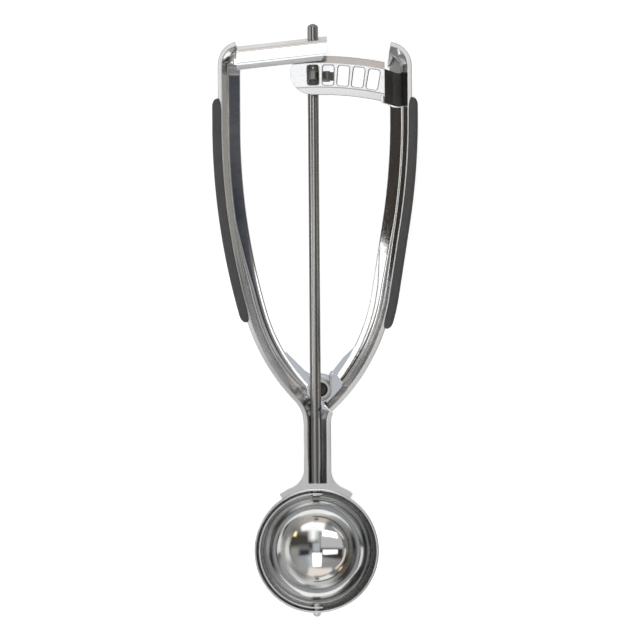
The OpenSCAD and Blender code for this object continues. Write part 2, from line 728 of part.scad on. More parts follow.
laid() main_frame();
laid() bowl();
laid() rod_guide();
laid() left_grip();
laid() pivot_rivet();
laid() front_pivot_washer();
laid() back_pivot_washer();
laid() return_spring();
laid() blade_rivet();
laid() squeeze_lever();
laid() gear_rack();
laid() right_grip();
laid() spindle();
laid() pinion();
laid() pinion_pin();
laid() scraper_blade();
laid() drive_washer();
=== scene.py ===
import json
import math

import bmesh
import bpy
from mathutils import Matrix, Vector


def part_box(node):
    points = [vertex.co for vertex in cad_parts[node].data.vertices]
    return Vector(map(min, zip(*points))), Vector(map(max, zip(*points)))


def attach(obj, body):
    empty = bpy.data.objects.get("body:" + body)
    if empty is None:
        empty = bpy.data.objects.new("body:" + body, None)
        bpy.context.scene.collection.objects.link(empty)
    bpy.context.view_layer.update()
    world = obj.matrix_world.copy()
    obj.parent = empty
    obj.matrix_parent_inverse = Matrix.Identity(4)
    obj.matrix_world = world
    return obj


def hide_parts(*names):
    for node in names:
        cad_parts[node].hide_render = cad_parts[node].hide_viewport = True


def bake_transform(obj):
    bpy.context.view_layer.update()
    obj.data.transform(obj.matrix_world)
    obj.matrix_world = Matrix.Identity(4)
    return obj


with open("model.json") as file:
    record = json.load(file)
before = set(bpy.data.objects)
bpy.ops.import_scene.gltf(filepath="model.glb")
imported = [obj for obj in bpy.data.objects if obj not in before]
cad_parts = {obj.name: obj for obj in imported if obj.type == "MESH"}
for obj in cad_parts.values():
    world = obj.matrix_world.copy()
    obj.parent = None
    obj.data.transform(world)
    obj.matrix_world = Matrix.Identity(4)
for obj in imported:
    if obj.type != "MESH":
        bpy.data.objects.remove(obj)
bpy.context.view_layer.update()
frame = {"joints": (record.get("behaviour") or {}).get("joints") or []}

# ---------------------------------------------------------------- main frame
# One stamping of stainless steel: the left arm is a trough, which narrows to the neck, closes in an
# end wall and ends in a saddle that is welded round the bowl. Its walls are polished, the rolled front
# lips and the saddle's top are satin, and a web behind the crotch carries the pivot rivet.
bowl_low, bowl_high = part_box("bowl")
BOWL_R = (bowl_high.x - bowl_low.x) * 500
turning = next(j for j in frame["joints"] if j["child"] == "rotor")
LEAN = math.atan2(-turning["axis"][2], turning["axis"][1])
# From the spindle's own frame in millimetres (bowl's centre at 0, Y up the spindle, Z out of the
# bowl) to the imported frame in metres, where the scoop lies on the table
LAY = (Matrix.Translation((0, bowl_low.y + BOWL_R / 1000, BOWL_R / 1000))
       @ Matrix.Rotation(-LEAN, 4, "X") @ Matrix.Scale(0.001, 4))
LAY_BACK = LAY.inverted()
UP = LAY.to_3x3() @ Vector((0, 1000, 0))

BACK_Z, SIDE_T, BACK_T, TROUGH_W, CORNER_R = -9.0, 1.8, 1.4, 8.2, 4.0
ARM_TOP, LEFT_HALF, SHOULDER_R = 195.0, 36.4, 9.1
LEFT_BEND_Y, LEFT_LOW, UPPER_BEND_R, LOWER_BEND_R = 125.6, 21.6, 265, 77
RIM_Z, ARM_LIP_Z, LIP_LOW_Y, LIP_HIGH_Y = 3.5, 8.5, 38, 80
NECK_LEFT, NECK_RIGHT, NECK_TOP, NECK_BEND_R = 4.7, 5.9, 52.6, 12
PIVOT, EAR_R, RIVET_R, SPINDLE_R, RUNNING = (1.9, 61.6), 6.3, 3.2, 2.1, 0.05
LOW_BEND_Y = PIVOT[1] + 11
LIP_ROUND, EDGE_ROUND, INNER_FOOT = 0.35, 0.3, 3.2
END_WALL_T, SADDLE_W, SADDLE_ANGLE, FLARE_R = 1.9, 2.0, 33.0, 7.5
GUIDE_LEFT = LEFT_HALF - TROUGH_W + 0.9


def polar(centre, degrees, r):
    a = math.radians(degrees)
    return (centre[0] + r * math.cos(a), centre[1] + r * math.sin(a))


def about_pivot(*places):
    """Points round the pivot, each given by its angle and distance."""
    return [polar(PIVOT, a, r) for a, r in places]


def arc(centre, rx, rz, start, end, steps):
    """Points of an elliptic arc, both ends included."""
    return [(centre[0] + rx * math.cos(math.radians(start + (end - start) * k / steps)),
             centre[1] + rz * math.sin(math.radians(start + (end - start) * k / steps)))
            for k in range(steps + 1)]


def stations(path, spacing=1.6):
    """Places (x, y, heading) along straight runs joined by round corners; path holds (x, y, radius)."""
    def heading(p, q):
        return math.degrees(math.atan2(q[1] - p[1], q[0] - p[0]))
    nodes = [(path[0][0], path[0][1], heading(path[0], path[1]))]
    for before, here, after in zip(path, path[1:], path[2:]):
        h = heading(before, here)
        turn = (heading(here, after) - h + 180) % 360 - 180
        side = math.copysign(1, turn)
        start = polar(here, h, -here[2] * abs(math.tan(math.radians(turn / 2))))
        centre = polar(start, h + 90 * side, here[2])
        steps = max(4, round(here[2] * abs(math.radians(turn)) / spacing))
        for k in range(steps + 1):
            a = h + turn * k / steps
            nodes.append((*polar(centre, a - 90 * side, here[2]), a))
    nodes.append((path[-1][0], path[-1][1], heading(path[-2], path[-1])))
    places = [nodes[0]]
    for p, q in zip(nodes, nodes[1:]):
        steps = max(1, round(math.hypot(q[0] - p[0], q[1] - p[1]) / spacing))
        turn = (q[2] - p[2] + 180) % 360 - 180
        places += [(p[0] + (q[0] - p[0]) * k / steps, p[1] + (q[1] - p[1]) * k / steps,
                    p[2] + turn * k / steps) for k in range(1, steps + 1)]
    return places


def shoulder(half, top, tip):
    """The round top of an arm, from its tip to the straight outer side."""
    start = 90 + math.degrees(math.asin((tip - half + SHOULDER_R) / SHOULDER_R))
    return [(*polar((SHOULDER_R - half, top - SHOULDER_R), a, SHOULDER_R), a + 90)
            for a in (start + (180 - start) * k / 14 for k in range(14))]


def mix(low, high, t):
    """From low at 0 to high at 1, and level beyond."""
    return low + (high - low) * min(1.0, max(0.0, t))


def lip_z(y):
    """The front lip drops from the arms to the neck."""
    t = mix(0, 1, (y - LIP_LOW_Y) / (LIP_HIGH_Y - LIP_LOW_Y))
    return mix(RIM_Z, ARM_LIP_Z, (1 - math.cos(math.pi * t)) / 2)


# The trough's floor at the top of the arms and, from COVE_Y down, where the cove is full: its slope
# at the free edge, its slope at the wall's foot, and the bend between them
COVE_Y, COVE_RUN = 100, 26
EDGE_SLOPES, FOOT_SLOPES, TIGHT_BEND = (0.16, 0.065), (0.30, 0.16), 0.7


def trough_loop(y, cove=2.9):
    """Section of an arm: distances inwards from its outer face, and heights. The wall's inner face is
    drafted, and the floor rises towards it in a dish."""
    top, floor, f = lip_z(y), BACK_Z + BACK_T, EDGE_ROUND
    e = LIP_ROUND * max(0.06, mix(0, 1, (y - 32) / 4))
    drafted = math.degrees(math.atan2(INNER_FOOT - SIDE_T, top - floor))
    level = (COVE_Y + COVE_RUN - y) / COVE_RUN
    edge_slope, foot_slope = mix(*EDGE_SLOPES, level), mix(*FOOT_SLOPES, level)
    bend_r = mix(TIGHT_BEND, cove, level)
    dish, run, steps = [(TROUGH_W - f, floor)], TROUGH_W - f - INNER_FOOT - bend_r, 10
    for k in range(1, steps + 1):
        slope = mix(edge_slope, foot_slope, (k - 0.5) / steps)
        dish.append((dish[-1][0] - run / steps, dish[-1][1] + run / steps * slope))
    foot_angle = math.degrees(math.atan(foot_slope))
    centre = polar(dish[-1], 90 - foot_angle, bend_r)
    return (arc((e, top - e), e, e, 90, 180, 4)
            + arc((CORNER_R, BACK_Z + CORNER_R), CORNER_R, CORNER_R, 180, 270, 14)
            + arc((TROUGH_W - f, BACK_Z + f), f, f, -90, 0, 3)
            + arc((TROUGH_W - f, floor - f), f, f, 0, 80, 3)
            + dish[1:] + arc(centre, bend_r, bend_r, 270 - foot_angle, 180 + drafted, 14)[1:]
            + arc((SIDE_T - e, top - e), e, e, 0, 90, 4))


def new_object(name, data):
    """An object of that mesh, curve, lamp or camera, in the scene."""
    obj = bpy.data.objects.new(name, data)
    bpy.context.scene.collection.objects.link(obj)
    return obj


def modified_mesh(obj):
    """What the object's modifiers make of it, as a plain mesh."""
    bpy.context.view_layer.update()
    return bpy.data.meshes.new_from_object(obj.evaluated_get(bpy.context.evaluated_depsgraph_get()))


def mesh_object(name, points, faces):
    """A closed mesh from points in the spindle's frame, with its faces turned outwards."""
    mesh = bpy.data.meshes.new(name)
    mesh.from_pydata([LAY @ Vector(p) for p in points], [], faces)
    bm = bmesh.new()
    bm.from_mesh(mesh)
    bmesh.ops.remove_doubles(bm, verts=bm.verts, dist=1e-7)
    bmesh.ops.recalc_face_normals(bm, faces=bm.faces)
    bm.to_mesh(mesh)
    bm.free()
    return new_object(name, mesh)


def skin(name, rings):
    """A closed mesh through rings of as many points each, with its first and last ring filled."""
    n, last = len(rings[0]), len(rings) - 1
    faces = [(k * n + j, (k + 1) * n + j, (k + 1) * n + (j + 1) % n, k * n + (j + 1) % n)
             for k in range(last) for j in range(n)]
    faces += [tuple(range(n)), tuple(range(last * n, (last + 1) * n))]
    return mesh_object(name, [point for ring in rings for point in ring], faces)


def sweep(name, places, loop, mirrored=False):
    """Sections set square to a path. loop(y) gives a section."""
    rings, side = [], -1 if mirrored else 1
    for x, y, h in places:
        s, c = math.sin(math.radians(h)), math.cos(math.radians(h))
        rings.append([(side * (x - u * s), y + u * c, z) for u, z in loop(y)])
    return skin(name, rings)


def plate(name, outline, low, high):
    """A flat plate with that outline, between two heights."""
    return skin(name, [[(x, y, z) for x, y in outline] for z in (low, high)])


def block(name, low, high):
    (x0, y0, z0), (x1, y1, z1) = low, high
    return plate(name, [(x0, y0), (x1, y0), (x1, y1), (x0, y1)], z0, z1)


def turned(name, profile, centre=(0, 0), along_y=False, steps=96):
    """A turned form: profile holds (radius, height), about Z at centre, or about the spindle."""
    points, faces, rings = [], [], []
    for r, h in profile:
        count = 1 if r < 1e-6 else steps
        rings.append(range(len(points), len(points) + count))
        for k in range(count):
            a = 2 * math.pi * k / steps
            x, y = r * math.cos(a), r * math.sin(a)
            points.append((x, h, -y) if along_y else (centre[0] + x, centre[1] + y, h))
    closed = profile[0][0] > 1e-6
    for p, q in zip(rings, rings[1:] + rings[:1] if closed else rings[1:]):
        for k in range(steps):
            corners = [p[k % len(p)], p[(k + 1) % len(p)], q[(k + 1) % len(q)], q[k % len(q)]]
            face = tuple(dict.fromkeys(corners))
            if len(face) > 2:
                faces.append(face)
    return mesh_object(name, points, faces)


def combine(target, tool, operation="UNION"):
    """Joins, cuts or intersects two closed meshes, and removes the second."""
    cut = target.modifiers.new("cut", "BOOLEAN")
    cut.operation, cut.object, cut.solver = operation, tool, "EXACT"
    result = modified_mesh(target)
    target.modifiers.remove(cut)
    target.data = result
    bpy.data.objects.remove(tool)
    return target


def circle(centre, r, steps=96):
    return [polar(centre, 360 * k / steps, r) for k in range(steps)]


def bore(obj, centre, r, low, high):
    """A round hole, about Z at centre, or about the spindle's axis where centre is None."""
    if centre:
        tool = plate("bore", circle(centre, r), low, high)
    else:
        tool = turned("bore", [(0, low), (r, low), (r, high), (0, high)], along_y=True)
    return combine(obj, tool, "DIFFERENCE")


def smooth(obj, degrees=32):
    """Smooth shading that keeps real edges, with flat faces left flat beside their rounds."""
    bm = bmesh.new()
    bm.from_mesh(obj.data)
    bmesh.ops.remove_doubles(bm, verts=bm.verts, dist=1e-5)
    bmesh.ops.dissolve_degenerate(bm, edges=bm.edges, dist=1e-6)
    bm.to_mesh(obj.data)
    bm.free()
    obj.data.polygons.foreach_set("use_smooth", [True] * len(obj.data.polygons))
    obj.data.set_sharp_from_angle(angle=math.radians(degrees))
    weighted = obj.modifiers.new("weighted normals", "WEIGHTED_NORMAL")
    weighted.keep_sharp = True
    return obj


def painted(obj, *materials):
    obj.data.materials.clear()
    for material in materials:
        obj.data.materials.append(material)
    return obj


def repainted(obj, index, chosen):
    """Gives a material's number to the faces whose middle and normal, in the spindle's frame, are chosen."""
    for face in obj.data.polygons:
        if chosen(LAY_BACK @ face.center, (LAY_BACK.to_3x3() @ face.normal).normalized()):
            face.material_index = index


def add_node(tree, kind, values=None, **settings):
    """A new node with its settings, and with values in its named or numbered inputs."""
    node = tree.nodes.new(kind)
    for setting, value in settings.items():
        setattr(node, setting, value)
    for socket, value in (values or {}).items():
        node.inputs[socket].default_value = value
    return node


def link(tree, *rows):
    """Links nodes: each row is a node and its output, then a node and its input."""
    for source, output, target, entry in rows:
        tree.links.new(source.outputs[output], target.inputs[entry])


def new_group(name, inputs, outputs):
    """A shader node group with named inputs (name, kind, default) and outputs (name, kind)."""
    group = bpy.data.node_groups.new(name, "ShaderNodeTree")
    for label, kind, default in inputs:
        socket = group.interface.new_socket(label, in_out="INPUT", socket_type="NodeSocket" + kind)
        if default is not None:
            socket.default_value = default
    for label, kind in outputs:
        group.interface.new_socket(label, in_out="OUTPUT", socket_type="NodeSocket" + kind)
    return group, group.nodes.new("NodeGroupInput"), group.nodes.new("NodeGroupOutput")


# Fine marks that every finish has in its own size: they change the gloss and the normal a little
marks, given, wanted = new_group(
    "fine_marks", [("Vector", "Vector", None), ("Scale", "Float", 200.0), ("Low", "Float", 0.1),
                   ("High", "Float", 0.2), ("Height", "Float", 1e-5), ("Normal", "Vector", None)],
    [("Roughness", "Float"), ("Normal", "Vector")])
noise = add_node(marks, "ShaderNodeTexNoise", {"Detail": 5})
spread = add_node(marks, "ShaderNodeMapRange", {"From Min": 0.3, "From Max": 0.7})
bump = add_node(marks, "ShaderNodeBump")
link(marks, (given, "Vector", noise, "Vector"), (given, "Scale", noise, "Scale"),
     (noise, "Fac", spread, "Value"), (given, "Low", spread, "To Min"), (given, "High", spread, "To Max"),
     (noise, "Fac", bump, "Height"), (given, "Height", bump, "Distance"), (given, "Normal", bump, "Normal"),
     (spread, "Result", wanted, "Roughness"), (bump, "Normal", wanted, "Normal"))

# Slow change of tone between two colours, as handling and polishing leave it
tone, given, wanted = new_group(
    "tone", [("Vector", "Vector", None), ("Scale", "Float", 40.0), ("Colour A", "Color", None),
             ("Colour B", "Color", None)], [("Color", "Color")])
noise = add_node(tone, "ShaderNodeTexNoise", {"Detail": 3})
blend = add_node(tone, "ShaderNodeMix", data_type="RGBA")
MIX_A, MIX_B, MIX_OUT = 6, 7, 2  # the colour sockets of a Mix node
link(tone, (given, "Vector", noise, "Vector"), (given, "Scale", noise, "Scale"),
     (noise, "Fac", blend, "Factor"), (given, "Colour A", blend, MIX_A), (given, "Colour B", blend, MIX_B),
     (blend, MIX_OUT, wanted, "Color"))

# The slow waviness of polished sheet, in waves to the metre
WAVE_SCALE = 55.0


def finish(name, colours, mark_scale, gloss, height, metallic=1.0, stretch=(1, 1, 1), tone_scale=40.0,
           edge=0.0002, wave=0.0, specular=0.5):
    """A finish: two tones, fine marks of one size and stretch, edges broken by a small radius, and a
    slow waviness of sheet where wave gives its height."""
    material = bpy.data.materials.new(name)
    material.use_nodes = True
    tree = material.node_tree
    shader = tree.nodes["Principled BSDF"]
    shader.inputs["Metallic"].default_value = metallic
    shader.inputs["Specular IOR Level"].default_value = specular
    place = add_node(tree, "ShaderNodeTexCoord")
    pull = add_node(tree, "ShaderNodeMapping", {"Scale": stretch})
    shade = add_node(tree, "ShaderNodeGroup", {"Scale": tone_scale, "Colour A": (*colours[0], 1),
                                               "Colour B": (*colours[1], 1)}, node_tree=tone)
    detail = add_node(tree, "ShaderNodeGroup", {"Scale": mark_scale, "Low": gloss[0], "High": gloss[1],
                                                "Height": height}, node_tree=marks)
    normal = add_node(tree, "ShaderNodeBevel", {"Radius": edge}, samples=6)
    if wave:
        ripple = add_node(tree, "ShaderNodeGroup", {"Scale": WAVE_SCALE, "Height": wave}, node_tree=marks)
        link(tree, (place, "Object", ripple, "Vector"), (normal, "Normal", ripple, "Normal"))
        normal = ripple
    link(tree, (place, "Object", pull, "Vector"), (place, "Object", shade, "Vector"),
         (shade, "Color", shader, "Base Color"), (pull, "Vector", detail, "Vector"),
         (normal, "Normal", detail, "Normal"), (detail, "Roughness", shader, "Roughness"),
         (detail, "Normal", shader, "Normal"))
    return material


polished = finish("polished_stainless", ((0.66, 0.66, 0.65), (0.70, 0.70, 0.70)), 900.0, (0.04, 0.08), 1e-6,
                  stretch=(3, 0.5, 1), wave=6e-5)
satin = finish("satin_stainless", ((0.60, 0.60, 0.59), (0.66, 0.66, 0.65)), 2200.0, (0.34, 0.46), 6e-6,
               stretch=(2, 1, 2))
# The pressed finish of the coves: rougher than polished, as unpolished sheet is, and a lighter base colour
# that paints light into the shaded coves
pressed_and_painted_light = finish("pressed_stainless", ((0.71, 0.715, 0.72), (0.79, 0.795, 0.80)), 1500.0, (0.20, 0.27), 5e-7,
                 stretch=(3, 0.3, 1))
# Painted light inside the neck: a rough finish with a far lighter base colour, for light that reaches the
# neck's inner walls
neck_painted_light = finish("inner_stainless", ((0.86, 0.865, 0.87), (0.93, 0.935, 0.94)), 1500.0, (0.26, 0.34), 5e-7,
                stretch=(3, 0.3, 1))

# Up the arms the pressed finish, with the painted light of its lighter base colour, runs out into the
# polished one
POLISH_START, POLISH_FULL, POLISH_GLOSS, POLISH_TONE = 84.0, 111.0, 0.06, (0.68, 0.68, 0.68, 1)
# A cove's faces are less level than COVE_LEVEL and lie lower than COVE_DEPTH under the lip. The faces of
# a lip's edge are more level than LIP_LEVEL and lie within LIP_DEPTH of it
COVE_LEVEL, COVE_DEPTH, LIP_LEVEL, LIP_DEPTH = 0.975, 0.3, 0.9, 0.4
tree = pressed_and_painted_light.node_tree
shader = tree.nodes["Principled BSDF"]
along = add_node(tree, "ShaderNodeVectorMath", {1: UP}, operation="DOT_PRODUCT")
share = add_node(tree, "ShaderNodeMapRange", {"From Min": (LAY @ Vector((0, POLISH_START, 0))).dot(UP),
                                              "From Max": (LAY @ Vector((0, POLISH_FULL, 0))).dot(UP)})
link(tree, (tree.nodes["Texture Coordinate"], "Object", along, 0), (along, "Value", share, "Value"))
for label, kind, polish, (first, second, result) in (
        ("Roughness", "FLOAT", POLISH_GLOSS, (2, 3, 0)),
        ("Base Color", "RGBA", POLISH_TONE, (MIX_A, MIX_B, MIX_OUT))):
    over = add_node(tree, "ShaderNodeMix", data_type=kind)
    over.inputs[second].default_value = polish
    tree.links.new(shader.inputs[label].links[0].from_socket, over.inputs[first])
    link(tree, (share, "Result", over, "Factor"), (over, result, shader, label))


def arm_finishes(arm):
    """The coves of the lower arms are left as pressed: rougher sheet that no polishing wheel reaches, with a
    lighter base colour that paints light into them. The inside of the neck is rough too, and its far lighter
    base colour is painted light. The wall's front edge is satin, and the rest is polished."""
    mid_x = (NECK_RIGHT - NECK_LEFT) / 2

    def unpolished_and_painted_light(middle, normal):
        inner = normal.x * (mid_x - middle.x) > 0 and 0 < normal.z < COVE_LEVEL
        below_lip = middle.z < lip_z(middle.y) - COVE_DEPTH
        return inner and below_lip and middle.y < POLISH_FULL + 1 and middle.length > BOWL_R + 1

    painted(arm, polished, satin, pressed_and_painted_light, neck_painted_light)
    # Painted light: the coves get the pressed finish with its lighter base colour
    repainted(arm, 2, unpolished_and_painted_light)
    # Painted light: the inside of the neck gets the far lighter finish
    repainted(arm, 3, lambda middle, normal: unpolished_and_painted_light(middle, normal) and middle.y <= NECK_TOP)
    repainted(arm, 1, lambda middle, normal: (normal.z > LIP_LEVEL
                                              and middle.z > lip_z(middle.y) - LIP_DEPTH))


left_path = [(-LEFT_HALF, ARM_TOP - SHOULDER_R, 0), (-LEFT_HALF, LEFT_BEND_Y, UPPER_BEND_R),
             (-LEFT_LOW, LOW_BEND_Y, LOWER_BEND_R), (-NECK_LEFT, NECK_TOP + 1.1, NECK_BEND_R),
             (-NECK_LEFT, BOWL_R + 0.2, 0)]
left_places = shoulder(LEFT_HALF, ARM_TOP, GUIDE_LEFT + 0.4) + stations(left_path)
neck_path = [(-NECK_RIGHT - 0.8, NECK_TOP, 0), (-NECK_RIGHT, NECK_TOP - 2.4, 4),
             (-NECK_RIGHT, BOWL_R + 0.2, 0)]
main_frame = sweep("main_frame_skin", left_places, trough_loop)
combine(main_frame, sweep("neck_wall", stations(neck_path), trough_loop, mirrored=True))
web = (about_pivot((132, 20), (129, 9.6), (123, 7), (100, EAR_R - 1), (0, 0), (-79, EAR_R), (-66.5, 9.3))
       + [(NECK_RIGHT - SIDE_T, NECK_TOP - 6), (-NECK_LEFT + SIDE_T, NECK_TOP - 6)]
       + about_pivot((190, 9), (150, 16)))
combine(main_frame, plate("web", web, BACK_Z + 0.01, BACK_Z + BACK_T - 0.01))
combine(main_frame, plate("ear", circle(PIVOT, EAR_R), BACK_Z + 0.02, BACK_Z + BACK_T - 0.02))
combine(main_frame, block("end_wall", (-NECK_LEFT + SIDE_T / 2, BOWL_R - 0.5, BACK_Z + 0.03),
                          (NECK_RIGHT - SIDE_T / 2, BOWL_R + END_WALL_T, RIM_Z - 0.02)))


def saddle_plan():
    """Outline of the saddle and its two flares, seen along Z."""
    saddle_r, outline = BOWL_R + SADDLE_W, []
    for side, half in ((1, NECK_RIGHT), (-1, NECK_LEFT)):
        centre = (half + FLARE_R, math.sqrt((saddle_r + FLARE_R) ** 2 - (half + FLARE_R) ** 2))
        touch = math.degrees(math.atan2(centre[1], centre[0]))
        ring = [polar((0, 0), a, saddle_r)
                for a in (90 - SADDLE_ANGLE + (touch - 90 + SADDLE_ANGLE) * k / 24 for k in range(24))]
        flare = [polar(centre, a, FLARE_R) for a in (touch + 180 - touch * k / 16 for k in range(17))]
        half_plan = ([polar((0, 0), 90 - SADDLE_ANGLE, BOWL_R - 1)] + ring + flare
                     + [(half - SIDE_T / 2, centre[1])])
        outline += [(side * x, y) for x, y in (half_plan if side > 0 else reversed(half_plan))]
    inside = [polar((0, 0), 90 + SADDLE_ANGLE - 2 * SADDLE_ANGLE * k / 40, BOWL_R - 1) for k in range(1, 40)]
    return outline + inside


def round_bottomed(name, r, above=9):
    """A solid half ball with a cylinder above it."""
    return turned(name, [(0, -r)] + arc((0, 0), r, r, -88, 0, 48) + [(r, above), (0, above)], steps=192)


# The saddle follows the bowl down as a shell, so its plan is cut back to a ball of its own radius, and
# the neck's trough runs through it to the end wall
saddle = plate("saddle", saddle_plan(), BACK_Z + CORNER_R, RIM_Z - 0.01)
ball = round_bottomed("ball", BOWL_R + SADDLE_W)
combine(ball, block("flare_keep", (-NECK_LEFT - FLARE_R, 10, -20), (NECK_RIGHT + FLARE_R, 40, 10)))
combine(saddle, ball, "INTERSECT")
combine(saddle, block("hollow", (SIDE_T - NECK_LEFT, BOWL_R + END_WALL_T, BACK_Z - 1),
                      (NECK_RIGHT - SIDE_T, 45, 9)), "DIFFERENCE")
combine(main_frame, saddle)
combine(main_frame, round_bottomed("bowl_space", BOWL_R), "DIFFERENCE")
bore(main_frame, PIVOT, RIVET_R, BACK_Z - 1, BACK_Z + 3)
bore(main_frame, None, SPINDLE_R + RUNNING, BOWL_R - 1, BOWL_R + 4)
arm_finishes(smooth(main_frame))
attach(main_frame, "frame")
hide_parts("main_frame")

# ---------------------------------------------------------------- bowl
# Deep drawn stainless half ball with a short straight band, polished outside and spun inside, where
# fine turning marks run round its axis. Its rim is rolled over very slightly.
BOWL_T, BOWL_RIM, BAND_LOW_Z = 0.9, 0.3, -8.6
BOWL_IN = BOWL_R - BOWL_T
bowl = turned("bowl_skin",
              [(0, -BOWL_R)] + arc((0, 0), BOWL_R, BOWL_R, -89, 0, 60)
              + arc((BOWL_R - BOWL_RIM, RIM_Z - BOWL_RIM), BOWL_RIM, BOWL_RIM, 0, 90, 4)
              + arc((BOWL_IN + BOWL_RIM, RIM_Z - BOWL_RIM), BOWL_RIM, BOWL_RIM, 90, 180, 4)
              + arc((0, 0), BOWL_IN, BOWL_IN, 0, -89, 60) + [(0, -BOWL_IN)], steps=256)
bore(bowl, None, SPINDLE_R + RUNNING, BOWL_R - 4, BOWL_R + 2)
BLADE_RIVET_R = 1.2
bore(bowl, None, BLADE_RIVET_R, -BOWL_R - 2, -BOWL_R + 4)
# The spun inside is glossy, and duller in the band under the rim
spun = finish("spun_stainless", ((0.60, 0.60, 0.59), (0.66, 0.66, 0.65)), 900.0, (0.05, 0.09), 1e-6)
band = finish("spun_band", ((0.56, 0.56, 0.55), (0.66, 0.66, 0.65)), 1400.0, (0.24, 0.34), 2e-6)
# The turning marks are noise over the distance from the bowl's axis
tree = spun.node_tree
shader = tree.nodes["Principled BSDF"]
centred = add_node(tree, "ShaderNodeMapping", {"Location": LAY @ Vector((0, 0, 0)),
                                               "Rotation": (-LEAN, 0, 0)}, vector_type="TEXTURE")
radial = add_node(tree, "ShaderNodeVectorMath", {1: (1, 1, 0)}, operation="MULTIPLY")
distance = add_node(tree, "ShaderNodeVectorMath", operation="LENGTH")
rings = add_node(tree, "ShaderNodeTexNoise", {"Scale": 2600.0, "Detail": 4}, noise_dimensions="1D")
lines = add_node(tree, "ShaderNodeBump", {"Distance": 3e-6})
tree.links.new(shader.inputs["Normal"].links[0].from_socket, lines.inputs["Normal"])
link(tree, (tree.nodes["Texture Coordinate"], "Object", centred, "Vector"), (centred, 0, radial, 0),
     (radial, 0, distance, 0), (distance, "Value", rings, "W"), (rings, "Fac", lines, "Height"),
     (lines, "Normal", shader, "Normal"))
painted(smooth(bowl), polished, spun, band)


def inside_bowl(middle, normal):
    return middle.length < BOWL_R - 0.5 or normal.dot(middle) < 0


repainted(bowl, 1, inside_bowl)
repainted(bowl, 2, lambda middle, normal: inside_bowl(middle, normal) and middle.z >= BAND_LOW_Z)
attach(bowl, "frame")
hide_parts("bowl")

# ---------------------------------------------------------------- spindle guide
# A strap of folded stainless sheet, spot welded by its foot to the back of the left arm. Its deep top
# flange carries the spindle's free end, and its end wall closes it down to the arm.
GUIDE_H, GUIDE_FRONT, GUIDE_BACK, GUIDE_RIGHT, GUIDE_SLOPE = 10.9, 10.6, 4.0, 5.4, 6.0
PLATE_T, FOOT_W, FOOT_L, GUIDE_END_R = 1.2, 2.6, 2.6, 9
GUIDE_FOOT_Y = ARM_TOP - 3.5 - GUIDE_H / 2 - GUIDE_LEFT * math.sin(math.radians(GUIDE_SLOPE))
# The guide's lower lip ends just in front of the rack, whose plate has its middle at this Z
RACK_MID_Z = 7.34


def rounded(outline, radii, steps=5):
    """Rounds the corners of an outline; radii holds one radius for each corner."""
    result = []
    for k, (corner, r) in enumerate(zip(outline, radii)):
        p, q = Vector(outline[k - 1]), Vector(outline[(k + 1) % len(outline)])
        c = Vector(corner)
        if r <= 0:
            result.append(tuple(c))
            continue
        a, b = (p - c).normalized(), (q - c).normalized()
        half = a.angle(b) / 2
        start, end = c + a * r / math.tan(half), c + b * r / math.tan(half)
        centre = c + (a + b).normalized() * r / math.sin(half)
        for j in range(steps + 1):
            spoke = (start - centre).lerp(end - centre, j / steps).normalized() * r
            result.append(tuple(centre + spoke))
    return result


def along_guide(name, section, start, length):
    """A section of the strap, (distance up the strap, height), drawn out along it."""
    a = math.radians(GUIDE_SLOPE)
    return skin(name, [[(-GUIDE_LEFT + t * math.cos(a) - u * math.sin(a),
                         GUIDE_FOOT_Y + t * math.sin(a) + u * math.cos(a), z) for u, z in section]
                       for t in (start, start + length)])


lip_low = RACK_MID_Z + PLATE_T / 2 + 0.6
face_low, face_high, wall_low = 2.9, GUIDE_H - 2.7, 3.9
strap = rounded([(0, lip_low), (face_low, GUIDE_FRONT), (face_high, GUIDE_FRONT), (GUIDE_H, -GUIDE_BACK),
                 (GUIDE_H - PLATE_T, -GUIDE_BACK), (face_high - PLATE_T + 0.1, GUIDE_FRONT - PLATE_T),
                 (face_low + 0.45, GUIDE_FRONT - PLATE_T), (PLATE_T * 1.2, lip_low)],
                [0.3, 1.9, 1.6, 0.3, 0.3, 0.5, 0.7, 0.3])
strap_l = (GUIDE_LEFT + GUIDE_RIGHT + 2) / math.cos(math.radians(GUIDE_SLOPE))
guide = along_guide("rod_guide_skin", strap, -2, 2 + strap_l)
combine(guide, block("end_cut", (-90, 150, -30), (-GUIDE_LEFT, 220, 30)), "DIFFERENCE")
wall_back, foot_z = BACK_Z + CORNER_R + 0.2, BACK_Z + BACK_T
wall_plan = [(wall_low, foot_z), (wall_low, GUIDE_FRONT - 0.05), (face_high - 0.5, GUIDE_FRONT - 0.05),
             (GUIDE_H - 0.05, -GUIDE_BACK), (GUIDE_H - 0.05, wall_back), (wall_low + FOOT_W, wall_back),
             (wall_low + FOOT_W, foot_z)]
wall = along_guide("wall", wall_plan, -3, 7)
combine(wall, block("wall_keep", (-GUIDE_LEFT + 0.01, 150, -30), (-GUIDE_LEFT + PLATE_T, 220, 30)),
        "INTERSECT")
combine(guide, wall)
foot_y = GUIDE_FOOT_Y + wall_low
combine(guide, block("foot", (-GUIDE_LEFT - FOOT_L + PLATE_T, foot_y + 0.1, foot_z),
                     (-GUIDE_LEFT + PLATE_T - 0.1, foot_y + FOOT_W - 0.1, foot_z + PLATE_T)))
end_keep = ([(-60, 150), (GUIDE_RIGHT - GUIDE_END_R / 2, 150)]
            + [polar((GUIDE_RIGHT - GUIDE_END_R, GUIDE_FOOT_Y + 1 + GUIDE_END_R), a, GUIDE_END_R)
               for a in range(-60, 1, 4)]
            + [(GUIDE_RIGHT, 230), (-60, 230)])
combine(guide, plate("end_keep", end_keep, -30, 30), "INTERSECT")
bore(guide, None, SPINDLE_R + RUNNING, 185, 215)
painted(smooth(guide), polished)
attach(guide, "frame")
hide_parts("rod_guide")

